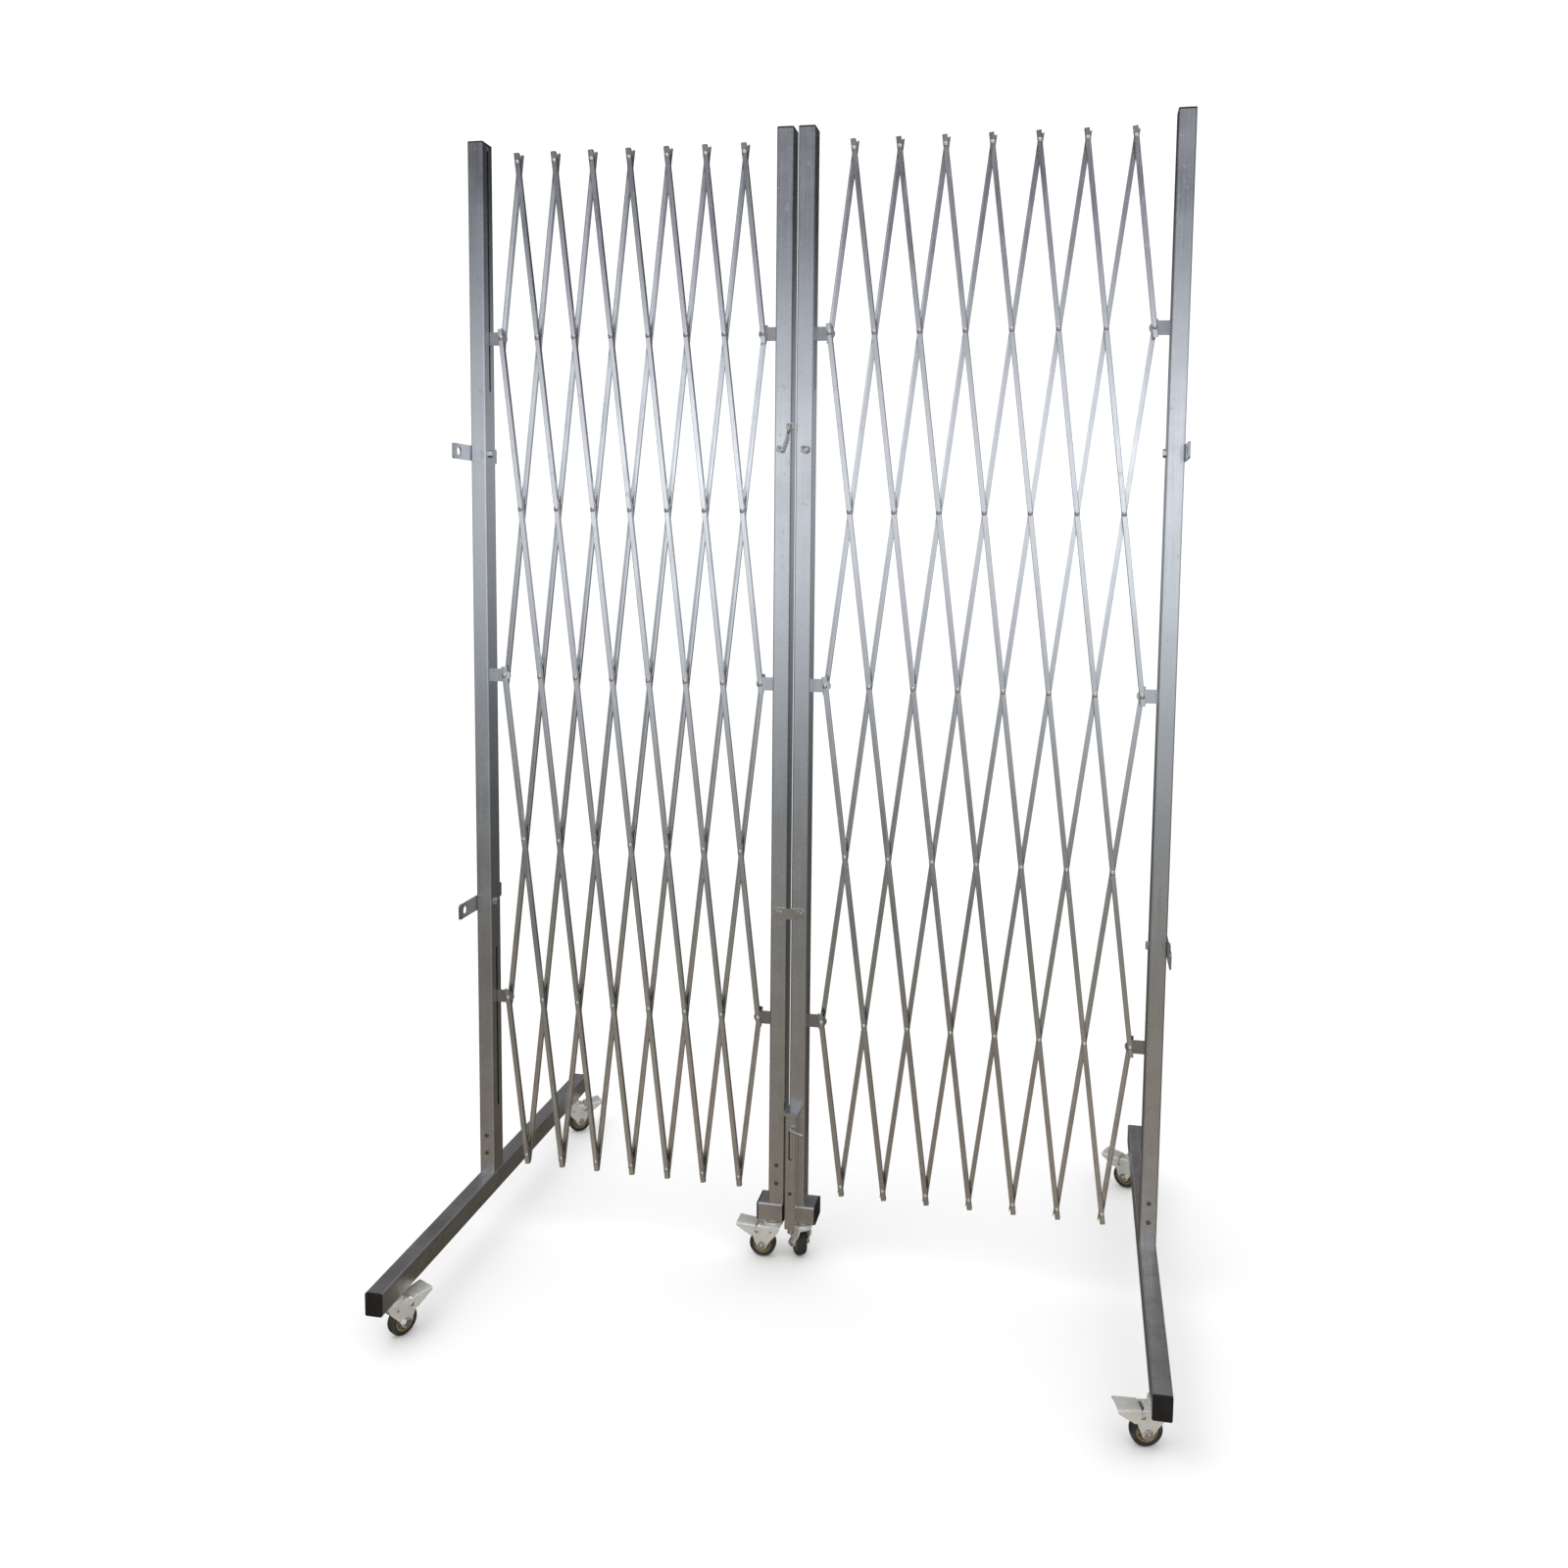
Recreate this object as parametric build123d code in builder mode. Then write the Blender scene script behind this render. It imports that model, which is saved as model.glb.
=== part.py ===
from build123d import *
import os
from math import asin, cos, hypot, sin, sqrt

os.makedirs("parts", exist_ok=True)

# A pair of free-standing expanding lattice gates, latched side by side. Millimetres.
# X runs along the gates to the right, Y to the back, Z up. It is laid out from the floor,
# midway between the two inner posts and in the posts' middle plane, and each node is then
# moved so that the origin is on the floor in the middle of the whole footprint.

# ---- posts -------------------------------------------------------------------------
POST_WIDTH = 30.0          # along X
POST_DEPTH = 40.0          # along Y
POST_WALL = 1.5
POST_CORNER = 3.0          # outside corner radius
POST_LENGTH = 1950.0
POST_GAP = 8.5             # between the two inner posts
CAP_THICKNESS = 3.0
CAP_PLUG = 9.0             # how far a cap's plug reaches into its tube
PLUG_CLEARANCE = 0.3
SPIGOT_HEIGHT = 100.0
SPIGOT_WALL = 2.0
SPIGOT_CLEARANCE = 0.3
SCREW_HEIGHTS = (40.0, 75.0)
SCREW_HEAD_RADIUS = 4.0
SCREW_HEAD_HEIGHT = 1.8

# ---- feet --------------------------------------------------------------------------
FOOT_WIDTH = 30.0          # long foot, along X
FOOT_HEIGHT = 40.0
FOOT_WALL = 2.0
FOOT_FRONT = 434.0         # from the post's middle to the front cap
FOOT_REAR = 456.0
INNER_FOOT_LENGTH = 52.0   # short foot, along X, with its caps
INNER_FOOT_DEPTH = 50.0    # along Y
INNER_FOOT_HEIGHT = 34.0
INNER_FOOT_FRONT = 22.0    # from the post's middle plane to the foot's front

# ---- castors -----------------------------------------------------------------------
WHEEL_DIAMETER = 50.0
WHEEL_WIDTH = 18.0
TYRE_THICKNESS = 8.0
HUB_WIDTH = 21.0
AXLE_RADIUS = 4.0
BORE_CLEARANCE = 0.1
CASTOR_HEIGHT = 73.5       # mounting face to floor
CASTOR_TRAIL = 20.0
CASTOR_INSET = 56.0        # swivel axis from a long foot's end
RACE_RADIUS = 19.0
RACE_HEIGHT = 9.0
FORK_GAP = 22.0            # between the fork's cheeks
FORK_SHEET = 2.5
FORK_TOP_RADIUS = 17.0
NUT_FLATS = 13.0
NUT_HEIGHT = 5.0
PEDAL_SHEET = 2.0
PEDAL_REACH = 68.0
PEDAL_GAP = 0.6            # beside the fork's cheeks

# ---- lattice -----------------------------------------------------------------------
CELLS = 7
ROWS = 6
FIXED_ROW = 3
PIVOT_PITCH = 315.0        # along a bar, from pivot to pivot
LEFT_CELL = 71.0           # cell width of the left gate as it stands
RIGHT_CELL = 79.5
FIXED_ROW_ABOVE_FOOT = 976.0
BAR_WIDTH = 9.0
BAR_DEPTH = 8.0
BAR_WALL = 1.2
BAR_TAIL = 17.0            # bar end past its last pivot
LAYER_GAP = 3.2            # between front and rear bars
RIVET_RADIUS = 2.5
RIVET_HEAD_RADIUS = 4.6
RIVET_HEAD_HEIGHT = 2.2
RIVET_TAIL_RADIUS = 3.8
RIVET_TAIL_HEIGHT = 1.6
RIVET_COLLAR_RADIUS = 3.1
RIVET_CLEARANCE = 0.08
END_PLAY = 0.15            # between a rear bar and its rivet's formed head

# ---- brackets in the posts' slots --------------------------------------------------
STRAP_REACH = 26.0         # post face to pivot
STRAP_THICKNESS = 3.0
STRAP_HEIGHT = 24.0
STRAP_END_RADIUS = 9.0
SHOE_DEPTH = 30.0          # along Y, inside the post
SHOE_THICKNESS = 8.0       # along X
SHOE_CLEARANCE = 0.6       # to the post's inside wall
SLOT_WIDTH = 5.5
SLOT_BEYOND = 97.0         # slot past the bracket, towards the middle
SLOT_LOWER_TAIL = 220.0    # lower slot below its bracket

# ---- tie straps on the outer posts -------------------------------------------------
TIE_LENGTH = 176.0
TIE_HEIGHT = 28.0
TIE_THICKNESS = 3.0
TIE_HOLE_RADIUS = 8.0
TIE_HOLE_INSET = 22.0      # hole centre from the strap's end
TIE_HEIGHTS = (650.0, 1505.0)
TIE_BOLT_RADIUS = 4.0
TIE_BOLT_HEAD = 5.0

# ---- latches between the inner posts -----------------------------------------------
HOOK_Z = 1550.0            # middle of the screw eye's ring
HOOK_WIRE = 2.0            # radius
HOOK_SHANK = 1.7           # radius, inside the ring wire's own
HOOK_EYE_RADIUS = 5.5
HOOK_DROP = 34.5
HOOK_TIP = 9.0
HOOK_LEAN = 19.0           # degrees from upright, where its stiff eye holds it
HOOK_INSET = 5.2           # screw eye's stem from the post's edge
HOOK_SLACK = 1.2           # hook ring's middle below the eye's wire
EYE_WIRE = 1.8
EYE_STEM = 1.5             # radius, inside the wire's own
EYE_RADIUS = 5.6
EYE_STANDOFF = HOOK_EYE_RADIUS + HOOK_WIRE + 0.7   # post face to the middle of the eye's ring
KEEPER_Z = 1511.0
KEEPER_SHIFT = 3.0         # ring's middle from the right inner post's middle
LATCH_Z = 670.0
LATCH_THICKNESS = 3.0
LATCH_HEIGHT = 20.0
LATCH_OVERHANG = 9.0       # strap past its pivot and past its stud
LATCH_PIN_RADIUS = 3.5
LATCH_PIN_HEAD = 6.0
LATCH_NOTCH_CLEARANCE = 1.6

# ---- drop bolt on the right inner post ---------------------------------------------
BOLT_RADIUS = 6.0
BOLT_HOUSING = 20.0        # outside width
BOLT_HOUSING_WALL = 2.0
BOLT_HOUSING_TOP = 302.0
BOLT_HOUSING_BOTTOM = 78.0
BOLT_LID_WIDTH = 27.5
BOLT_LID_DEPTH = 36.0      # out from the post's face
BOLT_LID_THICKNESS = 6.0
BOLT_HANDLE_Z = 272.0
BOLT_HANDLE_OUT = 17.0     # bolt axis to the handle's bend
BOLT_HANDLE_REACH = (27.5, -10.0, -4.0)
BOLT_HANDLE_RADIUS = 3.0
BOLT_TRAVEL = 58.0
BOLT_TIP_Z = 66.0
HOUSING_SCREW_HEIGHT = 70.0
HOUSING_SCREW_RADIUS = 1.8
BOLT_CLEARANCE = 0.4
BOLT_SIDE_SHIFT = 7.5      # bolt axis from the post's middle, towards the other post
BOLT_LID_SHIFT = 4.5

# ---- worked out --------------------------------------------------------------------
FOOT_TOP = CASTOR_HEIGHT + FOOT_HEIGHT
POST_TOP = FOOT_TOP + POST_LENGTH
FIXED_ROW_Z = FOOT_TOP + FIXED_ROW_ABOVE_FOOT
INNER_FACE = POST_GAP / 2
BAR_WEB_Y = LAYER_GAP / 2 + BAR_DEPTH
HALF_ROWS = ROWS / 2


class Gate:
    """One gate: its side, cell width and where its posts stand."""

    def __init__(self, name, side, cell):
        self.name = name
        self.side = side
        self.cell = cell
        self.rise = sqrt(PIVOT_PITCH**2 - (cell / 2) ** 2)
        self.inner_post_x = side * (INNER_FACE + POST_WIDTH / 2)
        self.inner_face_x = side * (INNER_FACE + POST_WIDTH)
        self.outer_face_x = self.inner_face_x + side * (2 * STRAP_REACH + CELLS * cell)
        self.outer_post_x = self.outer_face_x + side * POST_WIDTH / 2

    def pivot(self, along, row):
        """Lattice pivot, along cells out from the inner post and row rows down."""
        x = self.inner_face_x + self.side * (STRAP_REACH + along * self.cell)
        return x, FIXED_ROW_Z + (FIXED_ROW - row) * self.rise


LEFT = Gate("left", -1, LEFT_CELL)
RIGHT = Gate("right", 1, RIGHT_CELL)


LEFT_EDGE = LEFT.outer_post_x - POST_WIDTH / 2 - TIE_THICKNESS - TIE_BOLT_HEAD
RIGHT_EDGE = RIGHT.outer_post_x + POST_WIDTH / 2 + TIE_THICKNESS + TIE_BOLT_HEAD
TO_ORIGIN = Location((-(LEFT_EDGE + RIGHT_EDGE) / 2, (FOOT_FRONT - FOOT_REAR) / 2, 0))


def save(name, *pieces):
    """Write one node, of one solid or of a group of separate solids."""
    placed = [piece.moved(TO_ORIGIN) for piece in pieces]
    node = placed[0] if len(placed) == 1 else Compound(children=placed)
    node.label = name
    export_step(node, f"parts/{name}.step")


def rounded_tube(plane, width, depth, wall, corner, length):
    """A rolled rectangular tube along the plane's normal."""
    with BuildPart() as tube:
        with BuildSketch(plane):
            RectangleRounded(width, depth, corner)
            RectangleRounded(width - 2 * wall, depth - 2 * wall, max(corner - wall, 0.5), mode=Mode.SUBTRACT)
        extrude(amount=length)
    return tube.part


def end_cap(plane, width, depth, wall, corner):
    """A pressed-in plastic cap, whose plate lies on the plane and whose plug reaches back."""
    plug_width = width - 2 * wall - 2 * PLUG_CLEARANCE
    plug_depth = depth - 2 * wall - 2 * PLUG_CLEARANCE
    with BuildPart() as cap:
        with BuildSketch(plane):
            RectangleRounded(width, depth, corner)
        extrude(amount=CAP_THICKNESS)
        fillet(cap.faces().sort_by(Axis(plane.origin, plane.z_dir))[-1].edges(), 0.8)
        with BuildSketch(plane):
            RectangleRounded(plug_width, plug_depth, max(corner - wall, 0.5))
        extrude(amount=-CAP_PLUG)
    return cap.part


def hex_bolt(start, direction, shank_radius, shank_length, flats, head):
    """A hexagon-headed bolt, its head's underside on the start point, its shank along direction."""
    with BuildPart() as bolt:
        with BuildSketch(Plane(origin=start, z_dir=direction)):
            RegularPolygon(flats / 2, 6, major_radius=False)
        extrude(amount=-head)
        with BuildSketch(Plane(origin=start, z_dir=direction)):
            Circle(shank_radius)
        extrude(amount=shank_length)
    return bolt.part


def pan_screw(start, direction, head_radius, head_height, shank_radius, shank_length):
    """A pan-headed screw, its head's underside on the start point, its shank along direction."""
    with BuildPart() as screw:
        with BuildSketch(Plane(origin=start, z_dir=direction)):
            Circle(head_radius)
        extrude(amount=-head_height)
        fillet(screw.faces().sort_by(Axis(start, direction))[0].edges(), head_height * 0.6)
        with BuildSketch(Plane(origin=start, z_dir=direction)):
            Circle(shank_radius)
        extrude(amount=shank_length)
    return screw.part


# ---- lattice bars and their rivets --------------------------------------------------
def bar_rows(kind, line):
    """First and last row of a bar: 'out' bars go away from the inner post downwards."""
    if kind == "out":
        return max(0, round(-2 * line)), min(ROWS, round(2 * (CELLS - line)))
    return max(0, round(2 * (line - CELLS))), min(ROWS, round(2 * line))


def bar_pivots(kind, line):
    """The (along, row) of each of a bar's pivots, from the top down."""
    first, last = bar_rows(kind, line)
    lean = 0.5 if kind == "out" else -0.5
    return [(line + lean * row, row) for row in range(first, last + 1)]


def is_bracket(along, row):
    """Whether a pivot also carries a bracket to a post."""
    return row % 2 == 1 and along in (0, CELLS)


def channel_bar(gate, kind, line, facing):
    """A pressed channel with its web outwards: facing is -1 for front bars and 1 for rear bars."""
    points = [gate.pivot(*place) for place in bar_pivots(kind, line)]
    (top_x, top_z), (low_x, low_z) = points[0], points[-1]
    length = hypot(low_x - top_x, low_z - top_z)
    run = Vector((low_x - top_x) / length, 0, (low_z - top_z) / length)
    start = Vector(top_x, facing * BAR_WEB_Y, top_z) - run * BAR_TAIL
    section = Plane(origin=start, x_dir=Vector(0, -facing, 0), z_dir=run)
    with BuildPart() as bar:
        with BuildSketch(section):
            with Locations((BAR_DEPTH / 2, 0)):
                Rectangle(BAR_DEPTH, BAR_WIDTH)
            with Locations(((BAR_DEPTH + BAR_WALL) / 2, 0)):
                Rectangle(BAR_DEPTH - BAR_WALL, BAR_WIDTH - 2 * BAR_WALL, mode=Mode.SUBTRACT)
        extrude(amount=length + 2 * BAR_TAIL)
        long_edges = bar.edges().filter_by(lambda edge: edge.length > length)
        outer = [edge for edge in long_edges if abs(edge.center().Y - facing * BAR_WEB_Y) < 0.01]
        fillet(outer, BAR_WALL)
        with BuildSketch(Plane.XZ.offset(-facing * BAR_WEB_Y)):
            with Locations(*points):
                Circle(RIVET_RADIUS + RIVET_CLEARANCE)
        extrude(amount=facing * BAR_WALL * 1.5, both=True, mode=Mode.SUBTRACT)
    return bar.part


def dome(x, base, radius, height, way):
    """A spherical cap's outline, from its rim to its crown on the rivet's axis."""
    sphere = (radius**2 + height**2) / (2 * height)
    centre = base + way * (height - sphere)
    half = asin(radius / sphere) / 2
    middle = (x + sphere * sin(half), centre + way * sphere * cos(half))
    return ThreePointArc((x + radius, base), middle, (x, base + way * height))


def rivet(gate, along, row):
    """A shouldered rivet through a front and a rear bar, split round a strap where there is one."""
    x, z = gate.pivot(along, row)
    web_inside = BAR_WEB_Y - BAR_WALL
    tail = BAR_WEB_Y + END_PLAY
    shank, collar = x + RIVET_RADIUS, x + RIVET_COLLAR_RADIUS
    waist = []
    if is_bracket(along, row):
        middle = LAYER_GAP / 2 + END_PLAY
        waist = [(collar, middle), (shank, middle), (shank, -middle), (collar, -middle)]
    with BuildPart() as pin:
        with BuildSketch(Plane.XY.offset(z)):
            with BuildLine():
                head = dome(x, -BAR_WEB_Y, RIVET_HEAD_RADIUS, RIVET_HEAD_HEIGHT, -1)
                formed = dome(x, tail, RIVET_TAIL_RADIUS, RIVET_TAIL_HEIGHT, 1)
                Line(head @ 1, formed @ 1)
                Polyline(
                    formed @ 0,
                    (shank, tail),
                    (shank, web_inside - END_PLAY),
                    (collar, web_inside - END_PLAY),
                    *waist,
                    (collar, -web_inside),
                    (shank, -web_inside),
                    (shank, -BAR_WEB_Y),
                    head @ 0,
                )
            make_face()
        revolve(axis=Axis((x, 0, z), (0, 1, 0)))
    return pin.part


def save_bars(gate):
    """All twenty bars of a gate; each front bar's node also holds its rivets."""
    front_kind = "out" if gate.side > 0 else "in"
    for kind in ("out", "in"):
        first_line = 0.5 - HALF_ROWS if kind == "out" else 0.5
        facing = -1 if kind == front_kind else 1
        layer = "front" if facing < 0 else "rear"
        for index in range(CELLS + FIXED_ROW):
            line = first_line + index
            bar = channel_bar(gate, kind, line, facing)
            rivets = []
            if facing < 0:
                rivets = [rivet(gate, *place) for place in bar_pivots(kind, line)]
            save(f"{gate.name}_{layer}_bar_{index + 1:02d}", bar, *rivets)


# ---- brackets ------------------------------------------------------------------------
def bracket(gate, along, row, shoe):
    """A strap from a post to a pivot. A sliding one ends in a shoe inside the post's slot."""
    x, z = gate.pivot(along, row)
    if along == 0:
        face, outward = gate.inner_face_x, gate.side
    else:
        face, outward = gate.outer_face_x, -gate.side
    back = face - outward * (POST_WALL + SHOE_CLEARANCE) if shoe else face
    with BuildPart() as strap:
        with BuildSketch(Plane.XZ.offset(-STRAP_THICKNESS / 2)):
            with Locations(((x + back) / 2, z)):
                Rectangle(abs(x - back), STRAP_HEIGHT)
            with Locations((x, z)):
                Circle(STRAP_END_RADIUS)
            with Locations((x, z)):
                Circle(RIVET_RADIUS + RIVET_CLEARANCE, mode=Mode.SUBTRACT)
        extrude(amount=STRAP_THICKNESS)
        if shoe:
            with BuildSketch(Plane.XY.offset(z - STRAP_HEIGHT / 2)):
                with Locations((back - outward * SHOE_THICKNESS / 2, 0)):
                    Rectangle(SHOE_THICKNESS, SHOE_DEPTH)
            extrude(amount=STRAP_HEIGHT)
    return strap.part


def save_sliders(gate):
    """The four sliding brackets of a gate."""
    for place, along in (("inner", 0), ("outer", CELLS)):
        for level, row in (("top", 1), ("bottom", ROWS - 1)):
            save(f"{gate.name}_{place}_{level}_slider", bracket(gate, along, row, True))


# ---- posts ---------------------------------------------------------------------------
def slotted_post(gate, post_x, slot_side):
    """A post tube with its two bracket slots and the clearance holes of its screws."""
    slot_x = post_x + slot_side * POST_WIDTH / 2
    top_slot = FIXED_ROW_Z + (FIXED_ROW - 1) * gate.rise - SLOT_BEYOND
    low_row = FIXED_ROW_Z - (FIXED_ROW - 1) * gate.rise
    low_slot = (low_row - SLOT_LOWER_TAIL, low_row + SLOT_BEYOND)
    with BuildPart() as post:
        add(
            rounded_tube(
                Plane(origin=(post_x, 0, FOOT_TOP)), POST_WIDTH, POST_DEPTH, POST_WALL, POST_CORNER, POST_LENGTH
            )
        )
        for low, high, rounded in ((top_slot, POST_TOP + 1, False), (*low_slot, True)):
            with BuildSketch(Plane.YZ.offset(slot_x)):
                with Locations((0, (low + high) / 2)):
                    Rectangle(SLOT_WIDTH, high - low - SLOT_WIDTH)
                ends = [(0, low + SLOT_WIDTH / 2)]
                ends += [(0, high - SLOT_WIDTH / 2)] if rounded else []
                with Locations(*ends):
                    Circle(SLOT_WIDTH / 2)
            extrude(amount=POST_WALL * 2, both=True, mode=Mode.SUBTRACT)
        with BuildSketch(Plane.XZ.offset(POST_DEPTH / 2)):
            with Locations(*[(post_x, FOOT_TOP + height) for height in SCREW_HEIGHTS]):
                Circle(SCREW_HEAD_RADIUS * 0.6)
        extrude(amount=POST_WALL * 2, both=True, mode=Mode.SUBTRACT)
    return post.part


def post_cap(post_x):
    """The plastic cap on a post's top."""
    plane = Plane(origin=(post_x, 0, POST_TOP))
    return end_cap(plane, POST_WIDTH, POST_DEPTH, POST_WALL, POST_CORNER)


def post_screws(post_x):
    """The two screws that hold a post to its spigot."""
    return [
        pan_screw(
            (post_x, -POST_DEPTH / 2, FOOT_TOP + height),
            (0, 1, 0),
            SCREW_HEAD_RADIUS,
            SCREW_HEAD_HEIGHT,
            SCREW_HEAD_RADIUS * 0.5,
            POST_WALL + SPIGOT_CLEARANCE + SPIGOT_WALL + 4,
        )
        for height in SCREW_HEIGHTS
    ]


def spigot(post_x):
    """The stub tube, welded on the foot, that the post slips over."""
    width = POST_WIDTH - 2 * POST_WALL - 2 * SPIGOT_CLEARANCE
    depth = POST_DEPTH - 2 * POST_WALL - 2 * SPIGOT_CLEARANCE
    plane = Plane(origin=(post_x, 0, FOOT_TOP))
    with BuildPart() as stub:
        add(rounded_tube(plane, width, depth, SPIGOT_WALL, POST_CORNER, SPIGOT_HEIGHT))
        with BuildSketch(Plane.XZ.offset(depth / 2)):
            with Locations(*[(post_x, FOOT_TOP + height) for height in SCREW_HEIGHTS]):
                Circle(SCREW_HEAD_RADIUS * 0.5 + BORE_CLEARANCE)
        extrude(amount=SPIGOT_WALL * 2, both=True, mode=Mode.SUBTRACT)
    return stub.part


# ---- castors -------------------------------------------------------------------------
def castor(x, y, heading, spacer):
    """A braked swivel castor whose wheel trails towards heading, degrees from +X to +Y."""
    axle_z = -(CASTOR_HEIGHT - WHEEL_DIAMETER / 2)
    cheek_y = FORK_GAP / 2 + FORK_SHEET / 2
    tyre_inside = WHEEL_DIAMETER / 2 - TYRE_THICKNESS
    axle_length = FORK_GAP + 2 * FORK_SHEET + NUT_HEIGHT + 2
    with BuildPart() as race:
        with BuildSketch():
            Circle(RACE_RADIUS)
        extrude(amount=-RACE_HEIGHT)
        chamfer(race.edges().filter_by(GeomType.CIRCLE), 2.5)
        if spacer:
            with BuildSketch():
                Circle(RACE_RADIUS * 0.6)
            extrude(amount=spacer)
    with BuildPart() as fork:
        with BuildSketch(Plane.XY.offset(-RACE_HEIGHT)):
            Circle(FORK_TOP_RADIUS)
            with Locations((CASTOR_TRAIL * 0.3, 0)):
                Rectangle(CASTOR_TRAIL * 1.2, FORK_GAP + 2 * FORK_SHEET)
        extrude(amount=-FORK_SHEET)
        for side in (-1, 1):
            with BuildSketch(Plane.XZ.offset(-side * cheek_y)):
                with BuildLine():
                    Polyline(
                        (-13.0, -RACE_HEIGHT),
                        (29.0, -RACE_HEIGHT),
                        (38.0, -26.0),
                        (CASTOR_TRAIL + 9.0, axle_z - 2.0),
                        (CASTOR_TRAIL + 4.5, axle_z - 9.0),
                        (CASTOR_TRAIL - 4.5, axle_z - 9.0),
                        (CASTOR_TRAIL - 10.0, axle_z),
                        (-13.0, -19.0),
                        close=True,
                    )
                make_face()
                with Locations((CASTOR_TRAIL, axle_z)):
                    Circle(AXLE_RADIUS + BORE_CLEARANCE, mode=Mode.SUBTRACT)
            extrude(amount=FORK_SHEET / 2, both=True)
    with BuildPart() as tyre:
        with BuildSketch(Plane.XZ):
            with Locations((CASTOR_TRAIL, axle_z)):
                Circle(WHEEL_DIAMETER / 2)
                Circle(tyre_inside, mode=Mode.SUBTRACT)
        extrude(amount=WHEEL_WIDTH / 2, both=True)
        rims = tyre.edges().filter_by(lambda edge: edge.length > 2 * 3.1 * (WHEEL_DIAMETER / 2 - 1))
        fillet(rims.filter_by(GeomType.CIRCLE), 3.0)
    with BuildPart() as core:
        with BuildSketch(Plane.XZ):
            with Locations((CASTOR_TRAIL, axle_z)):
                Circle(tyre_inside)
                Circle(AXLE_RADIUS + BORE_CLEARANCE, mode=Mode.SUBTRACT)
        extrude(amount=WHEEL_WIDTH / 2 - 1.5, both=True)
        with BuildSketch(Plane.XZ):
            with Locations((CASTOR_TRAIL, axle_z)):
                Circle(AXLE_RADIUS * 2)
                Circle(AXLE_RADIUS + BORE_CLEARANCE, mode=Mode.SUBTRACT)
        extrude(amount=HUB_WIDTH / 2, both=True)
    bolt_y = FORK_GAP / 2 + FORK_SHEET
    axle = hex_bolt((CASTOR_TRAIL, -bolt_y, axle_z), (0, 1, 0), AXLE_RADIUS, axle_length, NUT_FLATS, NUT_HEIGHT)
    with BuildPart() as nut:
        with BuildSketch(Plane(origin=(CASTOR_TRAIL, bolt_y, axle_z), z_dir=(0, 1, 0))):
            RegularPolygon(NUT_FLATS / 2, 6, major_radius=False)
            Circle(AXLE_RADIUS + BORE_CLEARANCE, mode=Mode.SUBTRACT)
        extrude(amount=NUT_HEIGHT)
    flange_y = FORK_GAP / 2 + FORK_SHEET + PEDAL_GAP + PEDAL_SHEET / 2
    with BuildPart() as pedal:
        for side in (-1, 1):
            with BuildSketch(Plane.XZ.offset(-side * flange_y)):
                with BuildLine():
                    Polyline(
                        (22.0, -13.0),
                        (PEDAL_REACH, -6.0),
                        (PEDAL_REACH - 2.0, -13.0),
                        (42.0, -29.0),
                        (26.0, -31.0),
                        close=True,
                    )
                make_face()
            extrude(amount=PEDAL_SHEET / 2, both=True)
        with BuildSketch(Plane.XZ):
            with BuildLine():
                Polyline((32.0, -11.6), (PEDAL_REACH, -6.0), (PEDAL_REACH, -8.1), (32.0, -13.7), close=True)
            make_face()
        extrude(amount=flange_y + PEDAL_SHEET / 2, both=True)
    place = Location((x, y, CASTOR_HEIGHT), (0, 0, heading))
    pieces = (race.part, fork.part, tyre.part, core.part, axle, nut.part, pedal.part)
    return [piece.moved(place) for piece in pieces]


# ---- outer frames ----------------------------------------------------------------------
def long_foot(gate):
    """The long foot tube under an outer post."""
    start = Plane(
        origin=(gate.outer_post_x, CAP_THICKNESS - FOOT_FRONT, FOOT_TOP - FOOT_HEIGHT / 2),
        x_dir=(1, 0, 0),
        z_dir=(0, 1, 0),
    )
    length = FOOT_FRONT + FOOT_REAR - 2 * CAP_THICKNESS
    return rounded_tube(start, FOOT_WIDTH, FOOT_HEIGHT, FOOT_WALL, POST_CORNER, length)


def long_foot_caps(gate):
    """The caps on both ends of a long foot."""
    caps = []
    for y, way in ((CAP_THICKNESS - FOOT_FRONT, -1), (FOOT_REAR - CAP_THICKNESS, 1)):
        plane = Plane(origin=(gate.outer_post_x, y, FOOT_TOP - FOOT_HEIGHT / 2), x_dir=(1, 0, 0), z_dir=(0, way, 0))
        caps.append(end_cap(plane, FOOT_WIDTH, FOOT_HEIGHT, FOOT_WALL, POST_CORNER))
    return caps


def tie_strap(gate, z):
    """A flat strap with a hole at each end, across the outer side of an outer post."""
    face_x = gate.outer_post_x + gate.side * POST_WIDTH / 2
    with BuildPart() as strap:
        with BuildSketch(Plane.YZ.offset(face_x)):
            with Locations((0, z)):
                RectangleRounded(TIE_LENGTH, TIE_HEIGHT, 4)
            with Locations((0, z)):
                Circle(TIE_BOLT_RADIUS + BORE_CLEARANCE, mode=Mode.SUBTRACT)
            hole_y = TIE_LENGTH / 2 - TIE_HOLE_INSET
            with Locations((-hole_y, z), (hole_y, z)):
                Circle(TIE_HOLE_RADIUS, mode=Mode.SUBTRACT)
        extrude(amount=gate.side * TIE_THICKNESS)
    return strap.part


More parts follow.
